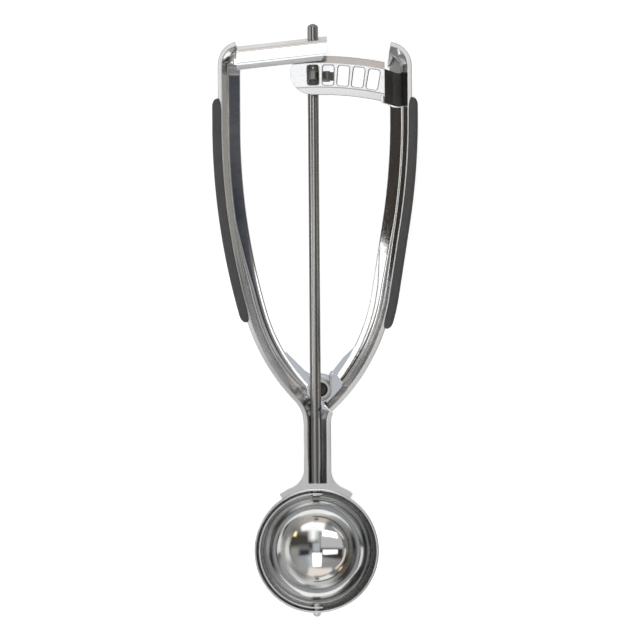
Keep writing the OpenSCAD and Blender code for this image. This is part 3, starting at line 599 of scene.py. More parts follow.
# ---------------------------------------------------------------- squeeze lever
# The right arm, pressed from the same polished sheet as the frame. At the crotch its back steps up
# over the frame's ear and ends in a flat disc with the pivot's hole and a tab for the spring.
PLATE_GAP, WASHER_T = 0.05, 0.5
LEVER_PLATE_Z = BACK_Z + BACK_T + PLATE_GAP
LEVER_PLATE_TOP = LEVER_PLATE_Z + BACK_T
STEP_IN_R = EAR_R + 0.7
STEP_OUT_R = STEP_IN_R + BACK_T
DISC_R, COIL_R, WIRE_D, LEVER_COVE = 5.2, 3.85, 1.0, 1.9
RIGHT_TOP, RIGHT_HALF, RIGHT_BEND_Y, RIGHT_LOW = ARM_TOP - 0.8, 37.7, 145.7, 25.9
lever_end = (-NECK_RIGHT - 0.3, NECK_TOP + 0.45)
low_bend = (-RIGHT_LOW, LOW_BEND_Y - 0.7)
onward = math.degrees(math.atan2(lever_end[1] - low_bend[1], lever_end[0] - low_bend[0]))
right_path = [(-RIGHT_HALF, RIGHT_TOP - SHOULDER_R, 0), (-RIGHT_HALF, RIGHT_BEND_Y, UPPER_BEND_R),
              (*low_bend, LOWER_BEND_R), (*polar(lever_end, onward, TROUGH_W), 0)]
right_places = shoulder(RIGHT_HALF, RIGHT_TOP, RIGHT_HALF - TROUGH_W + 0.2) + stations(right_path)
lever = sweep("squeeze_lever_skin", right_places, lambda y: trough_loop(y, LEVER_COVE), mirrored=True)
left_of_end, right_of_end = polar(lever_end, onward + 90, 40), polar(lever_end, onward + 90, -40)
end_cut = [left_of_end, right_of_end, polar(right_of_end, onward, 40), polar(left_of_end, onward, 40)]
combine(lever, plate("end_cut", [(-x, y) for x, y in end_cut], -40, 40), "DIFFERENCE")
lever_web = about_pivot((20, EAR_R), (56, STEP_OUT_R - 0.7), (54, 15), (51, 21), (30, 18), (0, 12),
                        (-20, 9.6))
combine(lever, plate("lever_web", lever_web, BACK_Z + 0.01, BACK_Z + BACK_T - 0.01))
step = about_pivot((0, 0), *((-65 + 125 * k / 48, STEP_OUT_R) for k in range(49)))
combine(lever, plate("step", step, BACK_Z + 0.02, LEVER_PLATE_TOP - 0.01))
combine(lever, plate("step_space", circle(PIVOT, STEP_IN_R), BACK_Z - 1, LEVER_PLATE_Z), "DIFFERENCE")
combine(lever, plate("disc", circle(PIVOT, DISC_R), LEVER_PLATE_Z + 0.01, LEVER_PLATE_TOP - 0.02))
washer_z = LEVER_PLATE_TOP + PLATE_GAP
spring_z = washer_z + WASHER_T + PLATE_GAP
tab_x = PIVOT[0] + COIL_R + WIRE_D / 2
combine(lever, block("tab", (tab_x, PIVOT[1] + 3.4, LEVER_PLATE_Z + 0.1),
                     (tab_x + 1, PIVOT[1] + 6, spring_z + 2.1)))
bore(lever, PIVOT, RIVET_R + RUNNING, BACK_Z - 1, BACK_Z + 12)
arm_finishes(smooth(lever))
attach(lever, "lever")
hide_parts("squeeze_lever")

# ---------------------------------------------------------------- pivot rivet and washers
# A semi-tubular rivet of satin stainless holds lever and frame together. Its hollow front end is rolled
# over, with painted shade inside its bore, its closed back head lies on a washer, and a thin washer guides
# the spring.
RIVET_IN, RIM_ROUND, HEAD_R, HEAD_ROUND, RIVET_FLOOR = 2.6, 0.55, 4.4, 0.25, 0.6
rivet_front, rivet_back = -SPINDLE_R - 0.2, BACK_Z - 2 * WASHER_T
rivet_floor = rivet_back + RIVET_FLOOR
rivet = turned("pivot_rivet_skin",
               [(0, rivet_floor), (RIVET_IN - 0.3, rivet_floor), (RIVET_IN, rivet_floor + 0.3),
                (RIVET_IN, rivet_front - 0.75)]
               + arc((RIVET_IN + RIM_ROUND, rivet_front - RIM_ROUND), RIM_ROUND, RIM_ROUND, 160, 0, 10)
               + [(RIVET_R, rivet_front - 1.0), (RIVET_R, rivet_back)]
               + arc((HEAD_R - HEAD_ROUND, rivet_back - HEAD_ROUND), HEAD_ROUND, HEAD_ROUND, 90, -90, 6)
               + [(0, rivet_back - 2 * HEAD_ROUND)], centre=PIVOT)


def washer(name, r_in, r_out, low, high, along_y=False):
    """A punched washer with its edges broken, on the pivot or on the spindle."""
    e = 0.12
    return turned(name, [(r_in + e, low), (r_out - e, low), (r_out, low + e), (r_out, high - e),
                         (r_out - e, high), (r_in + e, high), (r_in, high - e), (r_in, low + e)],
                  centre=PIVOT, along_y=along_y)


front_washer = washer("front_washer_skin", RIVET_R, COIL_R + WIRE_D / 2 + 0.2, washer_z, washer_z + WASHER_T)
back_washer = washer("back_washer_skin", RIVET_R, 5.1, rivet_back, rivet_back + 2 * WASHER_T)
# Painted shade: a near black finish inside the rivet's bore, where shade falls
bore_painted_shade = finish("raw_bore", ((0.10, 0.095, 0.09), (0.18, 0.17, 0.16)), 1800.0, (0.35, 0.5), 1e-5)
for piece, node in ((rivet, "pivot_rivet"), (front_washer, "front_pivot_washer"),
                    (back_washer, "back_pivot_washer")):
    painted(smooth(piece), satin)
    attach(piece, "frame")
    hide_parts(node)
# The bore's inner wall takes the painted shade
painted(rivet, satin, bore_painted_shade)
repainted(rivet, 1, lambda middle, normal: (math.dist(middle[:2], PIVOT) < RIVET_IN + 0.02
                                            and rivet_back < middle.z < rivet_front - 0.7))

# ---------------------------------------------------------------- return spring
# Hard drawn wire coiled a turn and a half round the rivet. One leg drops through a hole in the ear,
# the other bears on the lever's tab. The wire is drawn along its path by a node tree.
LEG_L, COIL_TURN, COIL_PITCH, LEG_BEND = 4.6, 540, WIRE_D + 0.05, 1
leg_x, leg_y, wire_z = PIVOT[0] - COIL_R, PIVOT[1] + LEG_L, spring_z + WIRE_D / 2
coil = [(*polar(PIVOT, 180 + a, COIL_R), wire_z + COIL_PITCH * a / 360) for a in range(0, COIL_TURN + 1, 9)]
bend = arc((leg_y - LEG_BEND, wire_z - LEG_BEND), LEG_BEND, LEG_BEND, 0, 90, 6)
wire = ([(leg_x, leg_y, BACK_Z + 0.2)] + [(leg_x, y, z) for y, z in bend]
        + coil + [(PIVOT[0] + COIL_R, leg_y + 0.6, coil[-1][2])])


def new_tree(name, inputs):
    """A geometry node tree with a geometry input and the named inputs."""
    tree = bpy.data.node_groups.new(name, "GeometryNodeTree")
    tree.interface.new_socket("Geometry", in_out="INPUT", socket_type="NodeSocketGeometry")
    for label, kind in inputs:
        tree.interface.new_socket(label, in_out="INPUT", socket_type="NodeSocket" + kind)
    tree.interface.new_socket("Geometry", in_out="OUTPUT", socket_type="NodeSocketGeometry")
    return tree, tree.nodes.new("NodeGroupInput"), tree.nodes.new("NodeGroupOutput")


def end_tree(tree, shape, material, end):
    """Realize Instances and Set Material, the last two nodes of a tree."""
    real = add_node(tree, "GeometryNodeRealizeInstances")
    coat = add_node(tree, "GeometryNodeSetMaterial", {"Material": material})
    link(tree, (shape, 0, real, 0), (real, 0, coat, "Geometry"), (coat, 0, end, 0))


def run_tree(obj, tree, values):
    """Runs the tree on the object with named values, and keeps its result as a plain mesh."""
    modifier = obj.modifiers.new(tree.name, "NODES")
    modifier.node_group = tree
    sockets = {i.name: i.identifier for i in tree.interface.items_tree if i.in_out == "INPUT"}
    for label, value in values.items():
        modifier[sockets[label]] = value
    result, name = modified_mesh(obj), obj.name
    bpy.data.objects.remove(obj)
    return new_object(name, result)


spring_metal = finish("drawn_wire", ((0.50, 0.49, 0.47), (0.62, 0.61, 0.59)), 3000.0, (0.22, 0.34), 4e-6,
                      stretch=(1, 1, 4))
tree, start, end = new_tree("drawn_wire_path", [("Radius", "Float"), ("Sides", "Int")])
ring = add_node(tree, "GeometryNodeCurvePrimitiveCircle")
drawn = add_node(tree, "GeometryNodeCurveToMesh", {"Fill Caps": True})
soft = add_node(tree, "GeometryNodeSetShadeSmooth")
link(tree, (start, "Geometry", drawn, "Curve"), (start, "Radius", ring, "Radius"),
     (start, "Sides", ring, "Resolution"), (ring, "Curve", drawn, "Profile Curve"),
     (drawn, "Mesh", soft, "Geometry"))
end_tree(tree, soft, spring_metal, end)
path = bpy.data.curves.new("spring_path", "CURVE")
path.dimensions = "3D"
spline = path.splines.new("POLY")
spline.points.add(len(wire) - 1)
for point, place in zip(spline.points, wire):
    point.co = (*(LAY @ Vector(place)), 1)
spring = new_object("return_spring_wire", path)
spring = run_tree(spring, tree, {"Radius": WIRE_D / 2000, "Sides": 20})
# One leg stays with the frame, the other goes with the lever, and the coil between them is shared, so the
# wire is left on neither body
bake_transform(spring)
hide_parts("return_spring")

# ---------------------------------------------------------------- gear rack
# An arc plate stamped from stainless sheet, folded back a little along both edges for stiffness, with
# five slots that drive the toothed wheel. Its end wall is welded edge on to the back of the lever.
TOOTH_COUNT, SLOT_W, SLOT_L, SLOT_CORNER = 5, 4.1, 7.45, 0.8
RACK_H, RACK_FOLD, FOLD_DEPTH, PUNCH_ROUND = 14.9, 2.7, 1.6, 0.4
RACK_WALL_H, RACK_WALL_DROP = 13, 10.8
WHEEL_Y, SLOT_STEP, FULL_TEETH = ARM_TOP - 13.3, 2.75, 8
RACK_R = math.hypot(PIVOT[0], WHEEL_Y - PIVOT[1])
PITCH_R = RACK_R * math.radians(SLOT_STEP) * FULL_TEETH / (2 * math.pi)
back, front = PITCH_R - PLATE_T / 2, PITCH_R + PLATE_T / 2
rack_in, rack_out = RACK_R - RACK_H / 2, RACK_R + RACK_H / 2
first_slot = 90 + math.degrees(math.asin(PIVOT[0] / RACK_R))
left_end = first_slot + 4.2
wall_top_x, wall_low_x = RIGHT_HALF - TROUGH_W - 3.4, RIGHT_HALF - TROUGH_W + 0.1
end_x = wall_top_x + PLATE_T
right_end = math.degrees(math.acos((end_x - PIVOT[0]) / rack_in))
section = rounded([(rack_in, back - FOLD_DEPTH), (rack_in + RACK_FOLD, back), (rack_out - RACK_FOLD, back),
                   (rack_out, back - FOLD_DEPTH), (rack_out, front - FOLD_DEPTH),
                   (rack_out - RACK_FOLD, front), (rack_in + RACK_FOLD, front),
                   (rack_in, front - FOLD_DEPTH)],
                  [0.2, 0.8, 0.8, 0.2, 0.4, 1.8, 1.8, 0.4])
rack = skin("gear_rack_skin", [[(*polar(PIVOT, right_end + (left_end - right_end) * k / 120, r), z)
                                for r, z in section] for k in range(121)])


def copies_tree(name, cutting, material):
    """A tree that turns copies of a shape about an axis, one step apart, and cuts them out or adds them."""
    tree, start, end = new_tree(name, [("Shape", "Object"), ("Count", "Int"), ("Step", "Float"),
                                       ("Centre", "Vector"), ("Axis", "Vector")])
    line, index, spin, shape, copies = (tree.nodes.new(kind) for kind in (
        "GeometryNodePoints", "GeometryNodeInputIndex", "FunctionNodeAxisAngleToRotation",
        "GeometryNodeObjectInfo", "GeometryNodeInstanceOnPoints"))
    turn = add_node(tree, "ShaderNodeMath", operation="MULTIPLY")
    link(tree, (start, "Count", line, "Count"), (start, "Centre", line, "Position"), (index, 0, turn, 0),
         (start, "Step", turn, 1), (start, "Axis", spin, "Axis"), (turn, 0, spin, "Angle"),
         (start, "Shape", shape, "Object"), (line, 0, copies, "Points"),
         (shape, "Geometry", copies, "Instance"), (spin, 0, copies, "Rotation"))
    if cutting:
        real = add_node(tree, "GeometryNodeRealizeInstances")
        made = add_node(tree, "GeometryNodeMeshBoolean", operation="DIFFERENCE", solver="EXACT")
        link(tree, (copies, 0, real, 0), (start, "Geometry", made, "Mesh 1"), (real, 0, made, "Mesh 2"))
    else:
        made = add_node(tree, "GeometryNodeJoinGeometry")
        link(tree, (copies, 0, made, 0), (start, "Geometry", made, 0))
    end_tree(tree, made, material, end)
    return tree


def with_copies(obj, tree, shape, centre, axis, step):
    """Runs a tree of copies on the object. The shape's own place becomes the centre that it turns about."""
    centre = LAY @ Vector(centre)
    shape.data.transform(Matrix.Translation(-centre))
    made = run_tree(obj, tree, {"Shape": shape, "Count": TOOTH_COUNT, "Step": step, "Centre": centre,
                                "Axis": axis})
    bpy.data.objects.remove(shape)
    return made


# The cutter widens at both faces of the plate, which rounds the punched edges
depths = [PUNCH_ROUND * t for t in (0, 0.06, 0.2, 0.5, 1)]
widths = [PUNCH_ROUND - math.sqrt(PUNCH_ROUND ** 2 - (PUNCH_ROUND - d) ** 2) for d in depths]
levels = ([(back - 1, PUNCH_ROUND)] + [(back + d, w) for d, w in zip(depths, widths)]
          + [(front - d, w) for d, w in zip(depths[::-1], widths[::-1])] + [(front + 1, PUNCH_ROUND)])
rings, a = [], math.radians(first_slot)
for z, wider in levels:
    half_l, half_w = SLOT_L / 2 + wider, SLOT_W / 2 + wider
    plan = rounded([(-half_l, -half_w), (half_l, -half_w), (half_l, half_w), (-half_l, half_w)],
                   [SLOT_CORNER + wider] * 4)
    rings.append([(PIVOT[0] + (RACK_R + u) * math.cos(a) - v * math.sin(a),
                   PIVOT[1] + (RACK_R + u) * math.sin(a) + v * math.cos(a), z) for u, v in plan])
rack = with_copies(rack, copies_tree("slots", True, polished), skin("slot_cutter", rings), (*PIVOT, 0),
                   LAY.to_3x3() @ Vector((0, 0, 1000)), -math.radians(SLOT_STEP))
combine(rack, block("end_cut", (end_x, 150, -30), (90, 220, 30)), "DIFFERENCE")
left_x = PIVOT[0] + RACK_R * math.cos(math.radians(left_end))
for r, up in ((8, -1), (6, 1)):
    centre = (left_x + r, WHEEL_Y + 0.8)
    corner_cut = ([(left_x - 9, centre[1]), (left_x, centre[1])]
                  + [polar(centre, 180 - up * a, r) for a in range(6, 91, 6)]
                  + [(centre[0], centre[1] + up * 20), (left_x - 9, centre[1] + up * 20)])
    combine(rack, plate("corner_cut", corner_cut, -5, 20), "DIFFERENCE")
wall_plan = rounded([(wall_top_x - 0.3, back + 0.3), (wall_top_x - 0.3, front - 0.3),
                     (end_x - 0.01, front - 0.3), (wall_low_x + PLATE_T, BACK_Z + BACK_T),
                     (wall_low_x, BACK_Z + BACK_T), (wall_top_x, back + 0.3)], [0, 0, 0.8, 0, 0, 0])
wall_y = WHEEL_Y - RACK_WALL_DROP
combine(rack, skin("rack_wall", [[(x, y, z) for x, z in wall_plan] for y in (wall_y, wall_y + RACK_WALL_H)]))
tumbled = finish("tumbled_stainless", ((0.44, 0.44, 0.445), (0.52, 0.52, 0.52)), 2400.0, (0.16, 0.26), 3e-6)
# Painted shade: a near black, dull, non-metallic finish on the rack's end wall, which lies in shade
end_wall_painted_shade = finish("welded_end", ((0.045, 0.041, 0.038), (0.10, 0.092, 0.085)), 1800.0, (0.6, 0.8), 6e-6,
                metallic=0.0, stretch=(3, 0.4, 1), tone_scale=300.0, specular=0.1)
painted(smooth(rack), tumbled, end_wall_painted_shade)
# The end wall's faces take the painted shade
repainted(rack, 1, lambda middle, normal: middle.x > end_x - 0.02 and abs(normal.y) < 0.5)
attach(rack, "lever")
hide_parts("gear_rack")

# ---------------------------------------------------------------- spindle
# Ground and polished stainless rod with a chamfered tip above the guide, turned down to a short tang
# where it holds the blade.
BLADE_T, BLADE_W, BLADE_GAP = 0.55, 6.6, 0.65
BLADE_OUT = BOWL_IN - BLADE_GAP
BLADE_IN = BLADE_OUT - BLADE_T
SPINDLE_TIP, TANG_R = ARM_TOP + 7, 1.4
tang_low = BLADE_IN - 0.85
spindle = turned("spindle_skin",
                 [(0, tang_low)] + arc((TANG_R - 0.25, tang_low + 0.25), 0.25, 0.25, -90, 0, 4)
                 + [(TANG_R, BLADE_OUT), (SPINDLE_R - 0.15, BLADE_OUT), (SPINDLE_R, BLADE_OUT + 0.15)]
                 + [(SPINDLE_R, y) for y in (60, 100, 140, 180)]
                 + arc((SPINDLE_R - 1.2, SPINDLE_TIP - 1.6), 1.2, 1.3, 0, 60, 6)
                 + [(0.75, SPINDLE_TIP - 0.12), (0.5, SPINDLE_TIP), (0, SPINDLE_TIP)], along_y=True)
rod_metal = finish("ground_rod", ((0.25, 0.246, 0.24), (0.31, 0.306, 0.30)), 1500.0, (0.16, 0.23), 1e-6,
                   stretch=(1, 6, 1))
painted(smooth(spindle), rod_metal)

# ---------------------------------------------------------------- toothed wheel
# A part wheel of dark sintered steel: a hub with five teeth, one for each slot of the rack, fixed to
# the spindle by a cross pin. The teeth are copies of one, set round the hub by a node tree.
TOOTH_W, HUB_R, HUB_OVER, HUB_EDGE = 3.2, 3.6, 1.6, 0.3
TOOTH_ROOT, TOOTH_TIP, WHEEL_OUT = 1.45, 0.8, PITCH_R + 1.2
PIN_R, PIN_EDGE, PIN_Y = 0.6, 0.15, WHEEL_Y + 3.2
dark_metal = finish("sintered_steel", ((0.20, 0.19, 0.18), (0.30, 0.29, 0.27)), 2600.0, (0.42, 0.62), 2e-5,
                    metallic=0.85, tone_scale=400.0)
flank = rounded([(HUB_R - 1, -TOOTH_ROOT), (WHEEL_OUT - 2.4, -TOOTH_ROOT), (WHEEL_OUT, -TOOTH_TIP),
                 (WHEEL_OUT, TOOTH_TIP), (WHEEL_OUT - 2.4, TOOTH_ROOT), (HUB_R - 1, TOOTH_ROOT)],
                [0, 0.8, 0.3, 0.3, 0.8, 0])
tooth = skin("tooth", [[(x, WHEEL_Y + side * TOOTH_W / 2, z) for z, x in flank] for side in (-1, 1)])
hub_low, hub_high = WHEEL_Y - TOOTH_W / 2 - HUB_OVER, WHEEL_Y + TOOTH_W / 2 + 3 * HUB_OVER
hub = turned("pinion_skin", [(SPINDLE_R, hub_low), (HUB_R - HUB_EDGE, hub_low), (HUB_R, hub_low + HUB_EDGE),
                             (HUB_R, hub_high - HUB_EDGE), (HUB_R - HUB_EDGE, hub_high),
                             (SPINDLE_R, hub_high)], along_y=True)
wheel = with_copies(hub, copies_tree("teeth_round_hub", False, dark_metal), tooth, (0, WHEEL_Y, 0), UP,
                    2 * math.pi / FULL_TEETH)
smooth(wheel)
pin = turned("pinion_pin_skin", [(0, -HUB_R), (PIN_R - PIN_EDGE, -HUB_R), (PIN_R, PIN_EDGE - HUB_R),
                                 (PIN_R, HUB_R - PIN_EDGE), (PIN_R - PIN_EDGE, HUB_R), (0, HUB_R)],
             centre=(0, PIN_Y), steps=32)
painted(smooth(pin), satin)

# ---------------------------------------------------------------- scraper blade and its fastenings
# A strip of thin polished spring stainless, pressed to the bowl's round. It turns on a dome headed
# rivet through the front of the bowl, and a small bright washer holds it on the spindle's tang.
PAST_AXIS, BLADE_HOLE_R, DRIVE_R, DRIVE_T = 2.4, 1.25, 1.9, 0.75
HEAD_OUT_R, HEAD_H, NUB_R, NUB_H, NUB_ROUND = 1.7, 1.7, 1.5, 1.35, 0.4
across, along = 12, 90
reach = math.degrees(math.asin(PAST_AXIS / BLADE_OUT))
rings = []
for k in range(along + 1):
    a, ring = math.radians(90 - reach + (180 + 2 * reach) * k / along), []
    for r, order in ((BLADE_OUT, 1), (BLADE_IN, -1)):
        for z in [BLADE_W * (j / across - 0.5) for j in range(across + 1)][::order]:
            flat = math.sqrt(r * r - z * z)
            ring.append((flat * math.cos(a), flat * math.sin(a), z))
    rings.append(ring)
blade = skin("scraper_blade_skin", rings)
bore(blade, None, TANG_R, 15, 30)
bore(blade, None, BLADE_HOLE_R, -30, -15)
painted(smooth(blade), polished)
drive_face = math.sqrt(BLADE_IN ** 2 - DRIVE_R ** 2) - 0.01
drive_washer = washer("drive_washer_skin", TANG_R, DRIVE_R, drive_face - DRIVE_T, drive_face, along_y=True)
painted(smooth(drive_washer), polished)
nub_face = BLADE_IN - 0.05
nub_top = NUB_H - nub_face
ball_r = (HEAD_OUT_R ** 2 + HEAD_H ** 2) / (2 * HEAD_H)
half_angle = math.degrees(math.asin(HEAD_OUT_R / ball_r))
dome = arc((0, BOWL_R + HEAD_H - ball_r), ball_r, ball_r, 90 - half_angle / 12, 90 - half_angle, 11)
blade_rivet = turned("blade_rivet_skin",
                     [(0, -BOWL_R - HEAD_H)] + [(r, -h) for r, h in dome]
                     + [(BLADE_RIVET_R, -BOWL_R), (BLADE_RIVET_R, -nub_face), (NUB_R, -nub_face),
                        (NUB_R, nub_top - NUB_ROUND)]
                     + arc((NUB_R - NUB_ROUND, nub_top - NUB_ROUND), NUB_ROUND, NUB_ROUND, 15, 90, 5)
                     + [(0, nub_top)], along_y=True, steps=64)
painted(smooth(blade_rivet), satin)
for piece, body, node, slot in ((spindle, "rotor", "spindle", "polished_steel"),
                                (wheel, "rotor", "pinion", "dark_steel"),
                                (pin, "rotor", "pinion_pin", "satin_steel"),
                                (blade, "rotor", "scraper_blade", "polished_steel"),
                                (drive_washer, "rotor", "drive_washer", "satin_steel"),
                                (blade_rivet, "frame", "blade_rivet", "satin_steel")):
    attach(piece, body)
    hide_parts(node)

# ---------------------------------------------------------------- grips
# Pads of matt dark grey rubber, moulded to snap over the side of each arm. Each hooks over the front
# lip and round the back corner, and its hook runs out to almost nothing at the rounded ends.
GRIP_T, WRAP_T, HOOK, HOOK_LEFT, PAD_GAP = 2.15, 1.3, 1.4, 0.25, 0.03
GRIP_DROP, LEFT_GRIP_LOW, RIGHT_GRIP_LOW = 22, 87.7, 84.9
GRIP_END_R, HOOK_RUN_OUT, END_FULLNESS = 3.0, 5.5, 0.12
rubber = finish("grip_rubber", ((0.052, 0.053, 0.054), (0.078, 0.079, 0.080)), 2500.0, (0.55, 0.75), 2.5e-5,
                metallic=0.0, stretch=(1, 0.12, 1), tone_scale=300.0, edge=0.0003, specular=0.35)


def pad_loop(fullness, hook):
    """Section of a pad: its outer skin, then its inner skin back to the hook's end."""
    c, r, t = BACK_Z + CORNER_R, CORNER_R + WRAP_T, GRIP_T * fullness
    front = ARM_LIP_Z + mix(PAD_GAP, WRAP_T, fullness)
    back = BACK_Z - mix(PAD_GAP, WRAP_T, fullness)
    reach, e = CORNER_R + 1, min(1.2, 0.8 * t)
    tip = min(0.55, 0.45 * (front - ARM_LIP_Z))
    outer_r = mix(CORNER_R, r, fullness)
    return (arc((hook - tip, front - tip), tip, tip, 0, 90, 5) + arc((-t + e, front - e), e, e, 90, 180, 7)
            + arc((-t + outer_r, back + outer_r), outer_r, outer_r, 180, 270, 12)
            + arc((reach - 0.3, back + 0.3), 0.3, 0.3, -90, 0, 3)
            + [(reach, BACK_Z - PAD_GAP)]
            + arc((CORNER_R, c), CORNER_R + PAD_GAP, CORNER_R + PAD_GAP, 270, 180, 12)
            + [(-PAD_GAP, ARM_LIP_Z - 1), (-PAD_GAP, ARM_LIP_Z + PAD_GAP), (hook, ARM_LIP_Z + PAD_GAP)])


def quarter(distance, length):
    """Height of a quarter round at a distance from its foot."""
    return math.sqrt(1 - (1 - min(1.0, distance / length)) ** 2)


def grip(name, places, low, mirrored):
    high = ARM_TOP - GRIP_DROP
    ends = [0.002] + [1 - math.cos(math.radians(9 * k)) for k in range(1, 11)]
    straight = high - low - 2 * GRIP_END_R
    count = int(straight / 1.6)
    ys = ([high - GRIP_END_R * e for e in ends] + [low + GRIP_END_R * e for e in reversed(ends)]
          + [high - GRIP_END_R - straight * k / count for k in range(1, count)])
    chosen, sections = [], {}
    outer = [p for p in places if p[1] < ARM_TOP - SHOULDER_R + 1]
    for y in sorted(set(ys), reverse=True):
        p, q = next((p, q) for p, q in zip(outer, outer[1:]) if q[1] <= y <= p[1])
        t = (p[1] - y) / (p[1] - q[1])
        chosen.append((p[0] + (q[0] - p[0]) * t, y, p[2] + (q[2] - p[2]) * t))
        from_end = min(y - low, high - y)
        sections[y] = pad_loop(mix(END_FULLNESS, 1, quarter(from_end, GRIP_END_R)),
                               mix(HOOK_LEFT, HOOK, quarter(from_end, HOOK_RUN_OUT)))
    return sweep(name, chosen, lambda y: sections[y], mirrored)


left_grip = grip("left_grip_pad", left_places, LEFT_GRIP_LOW, False)
right_grip = grip("right_grip_pad", right_places, RIGHT_GRIP_LOW, True)
for piece, body, node in ((left_grip, "frame", "left_grip"), (right_grip, "lever", "right_grip")):
    painted(smooth(piece, 50), rubber)
    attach(piece, body)
    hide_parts(node)

# ---------------------------------------------------------------- studio
# A white table, a room of grey walls with bright windows and dark screens that the steel reflects,
# three soft boxes near enough to shade from place to place, and a camera straight over the bowl's rim.
FLOOR_HALF = 4
ground = bpy.data.meshes.new("floor")
ground.from_pydata([(x * FLOOR_HALF, y * FLOOR_HALF, 0) for x, y in ((-1, -1), (1, -1), (1, 1), (-1, 1))],
                   [], [(0, 1, 2, 3)])
floor = new_object("floor", ground)
paper = bpy.data.materials.new("white_paper")
paper.use_nodes = True
tree = paper.node_tree
shader = tree.nodes["Principled BSDF"]
for label, value in (("Base Color", (0.88, 0.88, 0.88, 1)), ("Roughness", 1.0),
                     ("Emission Color", (1, 1, 1, 1))):
    shader.inputs[label].default_value = value


def calculated(tree, operation, *values):
    """The result of a Math node on numbers and sockets."""
    node = add_node(tree, "ShaderNodeMath", operation=operation)
    for socket, value in zip(node.inputs, values):
        if isinstance(value, (int, float)):
            socket.default_value = value
        else:
            tree.links.new(value, socket)
    return node.outputs[0]


# The table shows white to the camera, and a little whiter than it is lit in polished steel
rays = add_node(tree, "ShaderNodeLightPath")
lift = 0.0
for label, part in (("Is Camera Ray", 0.62), ("Is Glossy Ray", 0.19), ("Is Transmission Ray", 0.19)):
    lift = calculated(tree, "MULTIPLY_ADD", rays.outputs[label], part, lift)
tree.links.new(lift, shader.inputs["Emission Strength"])
painted(floor, paper)

world = bpy.data.worlds.new("studio")
bpy.context.scene.world = world
world.use_nodes = True

# One window or screen of the studio, as a mask over directions: its tilt, half sizes and soft edge
card, given, wanted = new_group("studio_card", [("Vector", "Vector", None), ("Tilt", "Vector", None),
                                                ("Half Width", "Float", 0.3), ("Half Height", "Float", 0.3),
                                                ("Edge", "Float", 0.05)], [("Mask", "Float")])
aim = add_node(card, "ShaderNodeVectorRotate", rotation_type="EULER_XYZ", invert=True)
parts = add_node(card, "ShaderNodeSeparateXYZ")
link(card, (given, "Vector", aim, "Vector"), (given, "Tilt", aim, "Rotation"),
     (aim, "Vector", parts, "Vector"))
ahead = parts.outputs["Z"]
mask = calculated(card, "GREATER_THAN", ahead, 0.001)
for axis, half in (("X", "Half Width"), ("Y", "Half Height")):
    slope = calculated(card, "ABSOLUTE", calculated(card, "DIVIDE", parts.outputs[axis],
                                                    calculated(card, "MAXIMUM", ahead, 0.001)))
    within = calculated(card, "DIVIDE", calculated(card, "SUBTRACT", given.outputs[half], slope),
                        given.outputs["Edge"])
    ramped = calculated(card, "MINIMUM", calculated(card, "MULTIPLY_ADD", within, 0.5, 0.5), 1.0)
    mask = calculated(card, "MULTIPLY", mask, calculated(card, "MAXIMUM", ramped, 0.0))
card.links.new(mask, wanted.inputs["Mask"])

tree = world.node_tree
place = add_node(tree, "ShaderNodeTexCoord")
level = add_node(tree, "ShaderNodeVectorRotate", {"Angle": LEAN}, rotation_type="X_AXIS")
parts = add_node(tree, "ShaderNodeSeparateXYZ")
walls = add_node(tree, "ShaderNodeValToRGB")
link(tree, (place, "Generated", level, "Vector"), (level, "Vector", parts, "Vector"),
     (parts, "Z", walls, "Fac"))
ramp = walls.color_ramp
ramp.elements[0].position, ramp.elements[0].color = 0.0, (0.50, 0.50, 0.50, 1)
ramp.elements[1].position, ramp.elements[1].color = 1.0, (0.42, 0.43, 0.44, 1)
for position, value in ((0.12, 0.36), (0.3, 0.32), (0.75, 0.40), (0.97, 0.50)):
    ramp.elements.new(position).color = (value, value, value * 1.01, 1)
# Tilt across and along the scoop in degrees, half sizes as slopes, edge, colour
CARDS = (((42, -13), (0.95, 0.335), 0.16, (0.090, 0.078, 0.068)),
         ((26, -1), (0.20, 0.095), 0.06, (0.22, 0.22, 0.225)),
         ((26, 8.5), (0.20, 0.095), 0.04, (0.045, 0.052, 0.068)),
         ((13, 28), (0.12, 0.24), 0.08, (0.80, 0.82, 0.86)),
         ((30, 31), (0.19, 0.24), 0.12, (0.50, 0.505, 0.52)),
         ((44, 5), (0.15, 0.14), 0.08, (0.44, 0.44, 0.41)),
         ((-34, -14), (0.55, 0.26), 0.06, (0.72, 0.72, 0.73)),
         ((-38, 9.5), (0.62, 0.165), 0.05, (0.055, 0.046, 0.040)),
         ((0, -2), (0.13, 0.14), 0.04, (0.64, 0.68, 0.74)),
         ((-7, -10), (0.012, 0.30), 0.01, (0.12, 0.12, 0.12)),
         ((-9, 56), (0.40, 0.30), 0.06, (1.2, 1.10, 1.03)),
         ((11, -70), (0.45, 0.24), 0.06, (0.56, 0.56, 0.57)),
         ((9, -49), (0.38, 0.24), 0.06, (1.8, 1.8, 1.8)),
         ((7, -31), (0.12, 0.30), 0.09, (1.5, 1.5, 1.5)),
         ((62, -18), (0.06, 0.42), 0.03, (2.0, 1.8, 1.65)),
         ((57, 38), (0.05, 0.30), 0.03, (2.0, 1.8, 1.65)),
         ((46, -27), (0.05, 0.08), 0.03, (2.4, 1.9, 0.9)),
         ((-61, 4), (0.12, 0.35), 0.04, (3.0, 3.0, 3.0)))
room, room_out = walls, "Color"
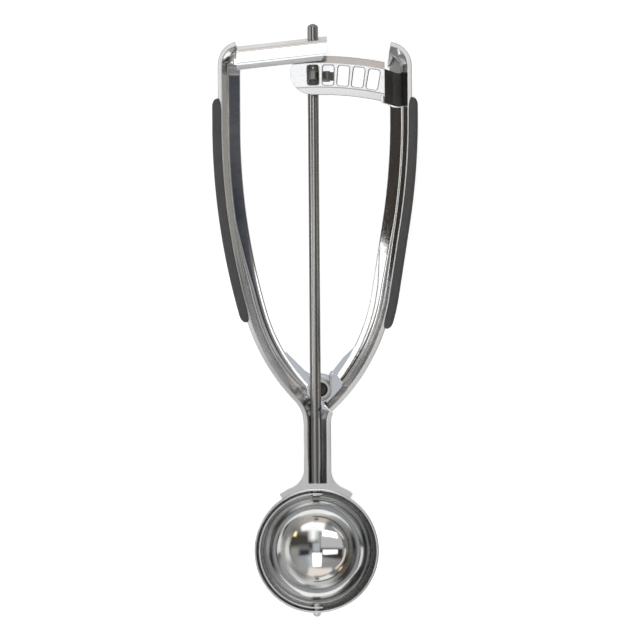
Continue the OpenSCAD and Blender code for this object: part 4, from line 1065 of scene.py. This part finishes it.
for (across, along), (half_w, half_h), edge, paint in CARDS:
    mask = add_node(tree, "ShaderNodeGroup", {"Tilt": (math.radians(-along), math.radians(across), 0),
                                              "Half Width": half_w, "Half Height": half_h, "Edge": edge},
                    node_tree=card)
    over = add_node(tree, "ShaderNodeMix", {MIX_B: (*paint, 1)}, data_type="RGBA")
    link(tree, (level, "Vector", mask, "Vector"), (mask, "Mask", over, "Factor"),
         (room, room_out, over, MIX_A))
    room, room_out = over, MIX_OUT
# The camera sees white where it looks past the table
sky = tree.nodes["Background"]
white = add_node(tree, "ShaderNodeBackground", {"Color": (1, 1, 1, 1)})
seen = add_node(tree, "ShaderNodeLightPath")
choose = add_node(tree, "ShaderNodeMixShader")
link(tree, (room, room_out, sky, "Color"), (seen, "Is Camera Ray", choose, "Fac"), (sky, 0, choose, 1),
     (white, 0, choose, 2), (choose, 0, tree.nodes["World Output"], "Surface"))

# Soft boxes: x and y ranges over the scoop, and radiance
BOX_HEIGHT = 700
SOFT_BOXES = ((-132, 112, 112, 527, 1.6), (-640, -150, 35, 168, 1.7), (-680, -150, -540, -310, 1.7))
for number, (x0, x1, y0, y1, radiance) in enumerate(SOFT_BOXES):
    lamp = bpy.data.lights.new(f"soft_box_{number}", "AREA")
    lamp.shape, lamp.size, lamp.size_y = "RECTANGLE", (x1 - x0) / 1000, (y1 - y0) / 1000
    lamp.energy = radiance * math.pi * lamp.size * lamp.size_y
    box = new_object(lamp.name, lamp)
    box.matrix_world = (Matrix.Translation(LAY @ Vector(((x0 + x1) / 2, (y0 + y1) / 2, BOX_HEIGHT)))
                        @ Matrix.Rotation(-LEAN, 4, "X"))
    box.visible_camera = False

# The camera's place over the scoop, its slight roll, and the width it shows at one height over the bowl
EYE_X, EYE_Y, EYE_DISTANCE, ROLL, VIEW_W, VIEW_Z, SENSOR_W = 1.958, 88.32, 1200.0, 0.0075, 244.5, 5, 36.0
lens = bpy.data.cameras.new("camera")
lens.sensor_width = SENSOR_W
lens.lens = SENSOR_W * (EYE_DISTANCE - VIEW_Z) / VIEW_W
lens.clip_end = 20
camera = new_object("camera", lens)
turned_to = LAY.to_3x3().normalized() @ Matrix(((1, ROLL, 0), (-ROLL, 1, 0), (0, 0, 1)))
camera.matrix_world = Matrix.Translation(LAY @ Vector((EYE_X, EYE_Y, EYE_DISTANCE))) @ turned_to.to_4x4()
bpy.context.scene.camera = camera
bpy.context.scene.view_settings.view_transform = "Standard"
